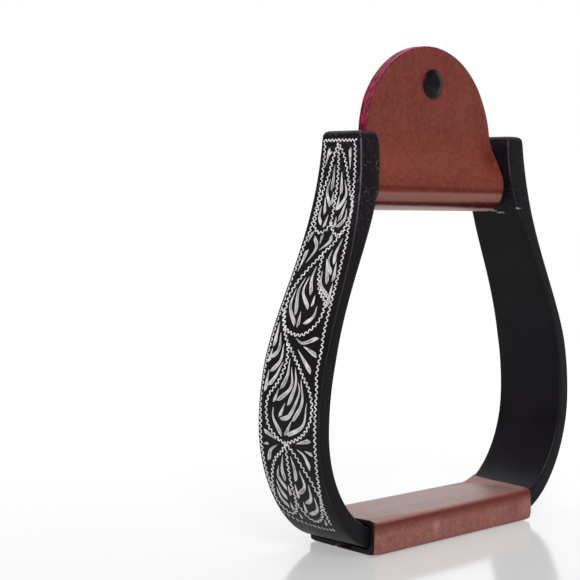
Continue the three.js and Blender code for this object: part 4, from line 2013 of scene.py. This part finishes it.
        def place(across: float, along: float, level: float) -> Triple:
            """Wraps one flat point round the bar.

            Args:
                across: how far it lies along the tread.
                along: how far round the bar.
                level: 1 on the outside, -1 inside.

            Returns:
                The point in space.
            """
            depth_share = float(np.interp(along, reach, middle[:, 0])) / BELL.body_depth + 0.5
            left, right = (a + (b - a) * depth_share for a, b in zip(self.front_ends, self.back_ends))
            share = (across / self.half_length + 1) / 2
            across = left + (right - left) * share
            foot, head = self._wall(abs(across), outer_run, inner_run)
            wall = round(float(np.linalg.norm(head - foot)), self.wall_digits)
            if wall not in sections:
                sections[wall] = self._section(wall)
            inner, outer = sections[wall]
            rise = clamp((float(np.interp(along, reach, inner[:, 1])) + self.gap) / self.wear_rise)
            thin = rise * self._thinned(share, (across - right) / self.skive_reach + 1, depth_share)
            skin = inner + (1 + level) * (1 - thin) * (outer - inner) / 2
            y, inward = (float(np.interp(along, reach, skin[:, axis])) for axis in (0, 1))
            flat = foot + unit(head - foot) * inward
            for _ in range(self.fit_rounds):
                foot, head = self._wall(foot[0] + abs(across) - flat[0], outer_run, inner_run)
                flat = foot + unit(head - foot) * inward
            scales = self.waves_each_metre
            spot = Vector((across * scales[0], y * scales[1], inward * scales[2]))
            wave = noise.noise(spot) * self.waviness
            outward = 0.0 if inward < 0 else wave
            sideways = math.copysign(wave * self.side_wave, y)
            return math.copysign(flat[0], across), y + sideways, flat[1] + outward

        shape = HideShape(self.thickness, self.edge_round, self.columns)
        rows = [(float(along), self.half_length) for along in reach]
        finishes = [self.hide.material(), self.edge.material()]
        return shape.mesh("tread_leather_wrap", rows, place, finishes)

    def dress(self, made: bpy.types.Object) -> list[bpy.types.Object]:
        """Puts the cover on its body.

        Args:
            made: the cover.

        Returns:
            The dressed pieces.
        """
        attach(made, Body.STIRRUP.value)
        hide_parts("tread_leather")
        return [made]


@dataclass
class Rivet:
    """The two-piece rivet through the leaves: a cap with a hollow stem, and a back head with its shank."""

    seat: float = 2.35 * MM
    head_radius: float = 5.5 * MM
    rim: float = 0.55 * MM
    rim_swell: float = 0.04 * MM
    rim_steps: int = 9
    dome: float = 1.05 * MM
    dome_width: float = 0.93
    dome_power: float = 3.4
    dome_end: float = 0.98
    dome_steps: int = 14
    shank: float = 1.3 * MM
    shank_tip: float = 0.7
    shank_gaps: Range = (0.3 * MM, 0.1 * MM)
    stem: float = 2.3 * MM
    bore: float = 1.6 * MM
    stem_end: float = -0.5 * MM
    sharp_angle: float = 40.0
    enamel: BlackEnamel = field(default_factory=BlackEnamel)

    def _head(self) -> list[Point2]:
        """The head's outline.

        Returns:
            Its points from the crown to the underside of the rim.
        """
        low = self.head_radius * self.dome_width
        line = []
        for share in np.linspace(0, self.dome_end, self.dome_steps):
            height = self.seat + self.rim + self.dome * (1 - share**self.dome_power)
            line.append((self.head_radius * share * self.dome_width, height))
        roll = self.rim / 2 + self.rim_swell
        for turn in np.linspace(math.pi / 2, -math.pi / 2, self.rim_steps):
            out = low + (self.head_radius - low) * math.cos(turn)
            line.append((out, self.seat + roll + roll * math.sin(turn)))
        return line

    def build(self) -> tuple[bpy.types.Object, bpy.types.Object]:
        """The two halves.

        Returns:
            The cap and the post.
        """
        finish = self.enamel.material()
        cap_line = self._head() + [
            (self.stem, self.seat),
            (self.stem, self.stem_end),
            (self.bore, self.stem_end),
            (self.bore, self.seat),
            (0.0, self.seat),
        ]
        start, end = (-self.seat + gap for gap in self.shank_gaps)
        post_line = self._head() + [
            (self.shank, self.seat),
            (self.shank, start),
            (self.shank * self.shank_tip, end),
            (0.0, end),
        ]
        middle = Matrix.Translation((0, 0, RIVET_HEIGHT))
        return (
            lathe("rivet_front_cap", cap_line, finish, middle @ Matrix.Rotation(math.pi / 2, 4, "X")),
            lathe("rivet_back_post", post_line, finish, middle @ Matrix.Rotation(-math.pi / 2, 4, "X")),
        )

    def dress(self, made: tuple[bpy.types.Object, bpy.types.Object]) -> list[bpy.types.Object]:
        """Puts both halves on the leather's body.

        Args:
            made: the cap and the post.

        Returns:
            The dressed pieces.
        """
        for piece, node in zip(made, ("rivet_cap", "rivet_post")):
            piece.data.set_sharp_from_angle(angle=math.radians(self.sharp_angle))
            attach(piece, Body.FLAP.value)
            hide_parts(node)
        return list(made)


@dataclass
class NeckRoller:
    """The pin across the neck and the sleeve that turns on it."""

    pin_radius: float = 4 * MM
    seat_gap: float = 0.3 * MM
    pin_cut: float = 0.5 * MM
    sleeve_bore: float = 4.35 * MM
    sleeve_radius: float = 6.35 * MM
    sleeve_cut: float = 0.3 * MM
    sharp_angle: float = 35.0
    steel: TurnedSteel = field(default_factory=TurnedSteel)

    def build(self) -> tuple[bpy.types.Object, bpy.types.Object]:
        """The two turned pieces.

        Returns:
            The pin and the sleeve.
        """
        finish = self.steel.material()
        placed = Matrix.Translation((0, 0, BELL.pin_height)) @ Matrix.Rotation(math.pi / 2, 4, "Y")
        radius, cut = self.pin_radius, self.pin_cut
        half = BELL.socket_end() - self.seat_gap
        pin_line = [
            (0.0, -half),
            (radius - cut, -half),
            (radius, -half + cut),
            (radius, half - cut),
            (radius - cut, half),
            (0.0, half),
        ]
        low, high, cut = self.sleeve_bore, self.sleeve_radius, self.sleeve_cut
        end = BELL.roll_half()
        sleeve_line = [
            (low, -end + cut),
            (low + cut, -end),
            (high - cut, -end),
            (high, -end + cut),
            (high, end - cut),
            (high - cut, end),
            (low + cut, end),
            (low, end - cut),
            (low, -end + cut),
        ]
        return (
            lathe("neck_pin_bar", pin_line, finish, placed),
            lathe("neck_roller_sleeve", sleeve_line, finish, placed),
        )

    def dress(self, made: tuple[bpy.types.Object, bpy.types.Object]) -> list[bpy.types.Object]:
        """Puts the pin and the sleeve on their bodies.

        Args:
            made: the pin and the sleeve.

        Returns:
            The dressed pieces.
        """
        for piece, node, body in zip(made, ("neck_pin", "neck_sleeve"), (Body.STIRRUP, Body.ROLLER)):
            piece.data.set_sharp_from_angle(angle=math.radians(self.sharp_angle))
            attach(piece, body.value)
            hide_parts(node)
        return list(made)


@dataclass(frozen=True)
class Panel:
    """A soft square light."""

    name: str
    place: Triple
    size: float
    watts: float


@dataclass
class Studio:
    """The pale floor, the soft lights and the camera."""

    floor_radius: float = 6.0
    floor_sides: int = 96
    floor_drop: float = 0.2 * MM
    floor_colour: Triple = (0.2, 0.2, 0.2)
    floor_glow: float = 0.38
    floor_gloss: float = 1.0
    fade_starts: float = 0.2
    fade_ends: float = 0.9
    floor_roughness: float = 0.13
    backdrop: float = 1.15
    dim_side: float = 0.2
    backdrop_starts: float = 0.2
    backdrop_full: float = 0.7
    camera_place: Triple = (-0.44253, -0.38224, 0.13504)
    camera_yaw: float = 44.044
    camera_pitch: float = -4.035
    camera_roll: float = 0.394
    picture_side: int = 580
    focal_pixels: float = 1505.6
    sensor: float = 36.0
    clip: Range = (0.01, 50)
    lit_spot: Triple = (0, 0, 0.09)
    panels: tuple[Panel, ...] = (
        Panel("key_panel", (-0.9, -1.1, 1.3), 1.0, 42.0),
        Panel("top_panel", (0.2, 0.3, 1.6), 1.2, 14.0),
    )

    def build(self) -> None:
        """Makes everything of the studio."""
        self._camera()
        self._floor()
        self._lights()
        self._world()

    def _camera(self) -> None:
        """The camera at the photograph's place and angle."""
        yaw, pitch, roll = (math.radians(a) for a in (self.camera_yaw, self.camera_pitch, self.camera_roll))
        ahead = Vector((math.sin(yaw) * math.cos(pitch), math.cos(yaw) * math.cos(pitch), math.sin(pitch)))
        right = Vector((math.cos(yaw), -math.sin(yaw), 0))
        up = right.cross(ahead)
        across = right * math.cos(roll) + up * math.sin(roll)
        upward = up * math.cos(roll) - right * math.sin(roll)
        turned = Matrix((across, upward, -ahead)).transposed().to_4x4()
        data = bpy.data.cameras.new("camera")
        data.sensor_fit = "HORIZONTAL"
        data.sensor_width = self.sensor
        data.lens = self.focal_pixels / self.picture_side * self.sensor
        data.clip_start, data.clip_end = self.clip
        camera = bpy.data.objects.new("camera", data)
        camera.matrix_world = Matrix.Translation(self.camera_place) @ turned
        bpy.context.scene.collection.objects.link(camera)
        bpy.context.scene.camera = camera

    def _floor(self) -> None:
        """A wide pale floor that fades to plain white away from the object."""
        nodes = Nodes("pale_floor")
        nodes.set(
            Roughness=self.floor_roughness,
            Specular_IOR_Level=self.floor_gloss,
            Emission_Strength=self.floor_glow,
        )
        nodes.shader.inputs["Emission Color"].default_value = WHITE
        nodes.shader.inputs["Base Color"].default_value = (*self.floor_colour, 1)
        glow = nodes.add("ShaderNodeEmission", Strength=1.0)
        glow.inputs["Color"].default_value = WHITE
        far = nodes.add("ShaderNodeVectorMath", operation="LENGTH")
        nodes.join(nodes.place, "Object", far, 0)
        share = nodes.add("ShaderNodeMapRange", interpolation_type="SMOOTHSTEP")
        share.inputs["From Min"].default_value = self.fade_starts
        share.inputs["From Max"].default_value = self.fade_ends
        nodes.join(far, "Value", share, "Value")
        blend = nodes.add("ShaderNodeMixShader")
        nodes.join(share, 0, blend, 0)
        nodes.join(nodes.shader, 0, blend, 1)
        nodes.join(glow, 0, blend, 2)
        nodes.join(blend, 0, nodes.output, "Surface")
        angles = np.linspace(0, 2 * math.pi, self.floor_sides, endpoint=False)
        points = [(self.floor_radius * math.cos(a), self.floor_radius * math.sin(a), 0) for a in angles]
        mesh = bpy.data.meshes.new("floor")
        mesh.from_pydata(points, [], [list(range(self.floor_sides))])
        mesh.materials.append(nodes.material)
        floor = bpy.data.objects.new("floor", mesh)
        floor.location = (0, 0, -self.floor_drop)
        bpy.context.scene.collection.objects.link(floor)

    def _lights(self) -> None:
        """Soft panels above and in front."""
        for panel in self.panels:
            data = bpy.data.lights.new(panel.name, "AREA")
            data.size = panel.size
            data.energy = panel.watts
            lamp = bpy.data.objects.new(panel.name, data)
            lamp.location = panel.place
            lamp.rotation_mode = "QUATERNION"
            ahead = Vector(self.lit_spot) - Vector(panel.place)
            lamp.rotation_quaternion = ahead.to_track_quat("-Z", "Y")
            bpy.context.scene.collection.objects.link(lamp)

    def _world(self) -> None:
        """White as a backdrop; as a light it is bright behind the object and dim on its other sides."""
        world = bpy.data.worlds.new("white_surround")
        world.use_nodes = True
        tree = world.node_tree
        tree.nodes.clear()
        output = tree.nodes.new("ShaderNodeOutputWorld")
        seen, lit = tree.nodes.new("ShaderNodeBackground"), tree.nodes.new("ShaderNodeBackground")
        seen.inputs["Color"].default_value = WHITE
        lit.inputs["Color"].default_value = WHITE
        place = tree.nodes.new("ShaderNodeTexCoord")
        facing = tree.nodes.new("ShaderNodeVectorMath")
        facing.operation = "DOT_PRODUCT"
        yaw = math.radians(self.camera_yaw)
        facing.inputs[1].default_value = (math.sin(yaw), math.cos(yaw), 0)
        tree.links.new(place.outputs["Generated"], facing.inputs[0])
        spread = tree.nodes.new("ShaderNodeMapRange")
        spread.interpolation_type = "SMOOTHSTEP"
        for socket, value in (
            ("From Min", self.backdrop_starts),
            ("From Max", self.backdrop_full),
            ("To Min", self.dim_side),
            ("To Max", self.backdrop),
        ):
            spread.inputs[socket].default_value = value
        tree.links.new(facing.outputs["Value"], spread.inputs["Value"])
        tree.links.new(spread.outputs[0], lit.inputs["Strength"])
        path, blend = tree.nodes.new("ShaderNodeLightPath"), tree.nodes.new("ShaderNodeMixShader")
        tree.links.new(path.outputs["Is Camera Ray"], blend.inputs[0])
        tree.links.new(lit.outputs[0], blend.inputs[1])
        tree.links.new(seen.outputs[0], blend.inputs[2])
        tree.links.new(blend.outputs[0], output.inputs["Surface"])
        bpy.context.scene.world = world
        bpy.context.scene.view_settings.view_transform = "Standard"


def main() -> None:
    """Builds the studio and the stirrup's pieces in order."""
    logging.basicConfig(level=logging.INFO, format="%(name)s: %(message)s")
    Studio().build()
    for maker in (CastFrame(), Engraving(), NeckRoller(), NeckLeather(), Rivet(), TreadLeather()):
        for piece in maker.dress(maker.build()):
            log.info("%s: %d faces", piece.name, len(piece.data.polygons))


if __name__ == "__main__":
    main()
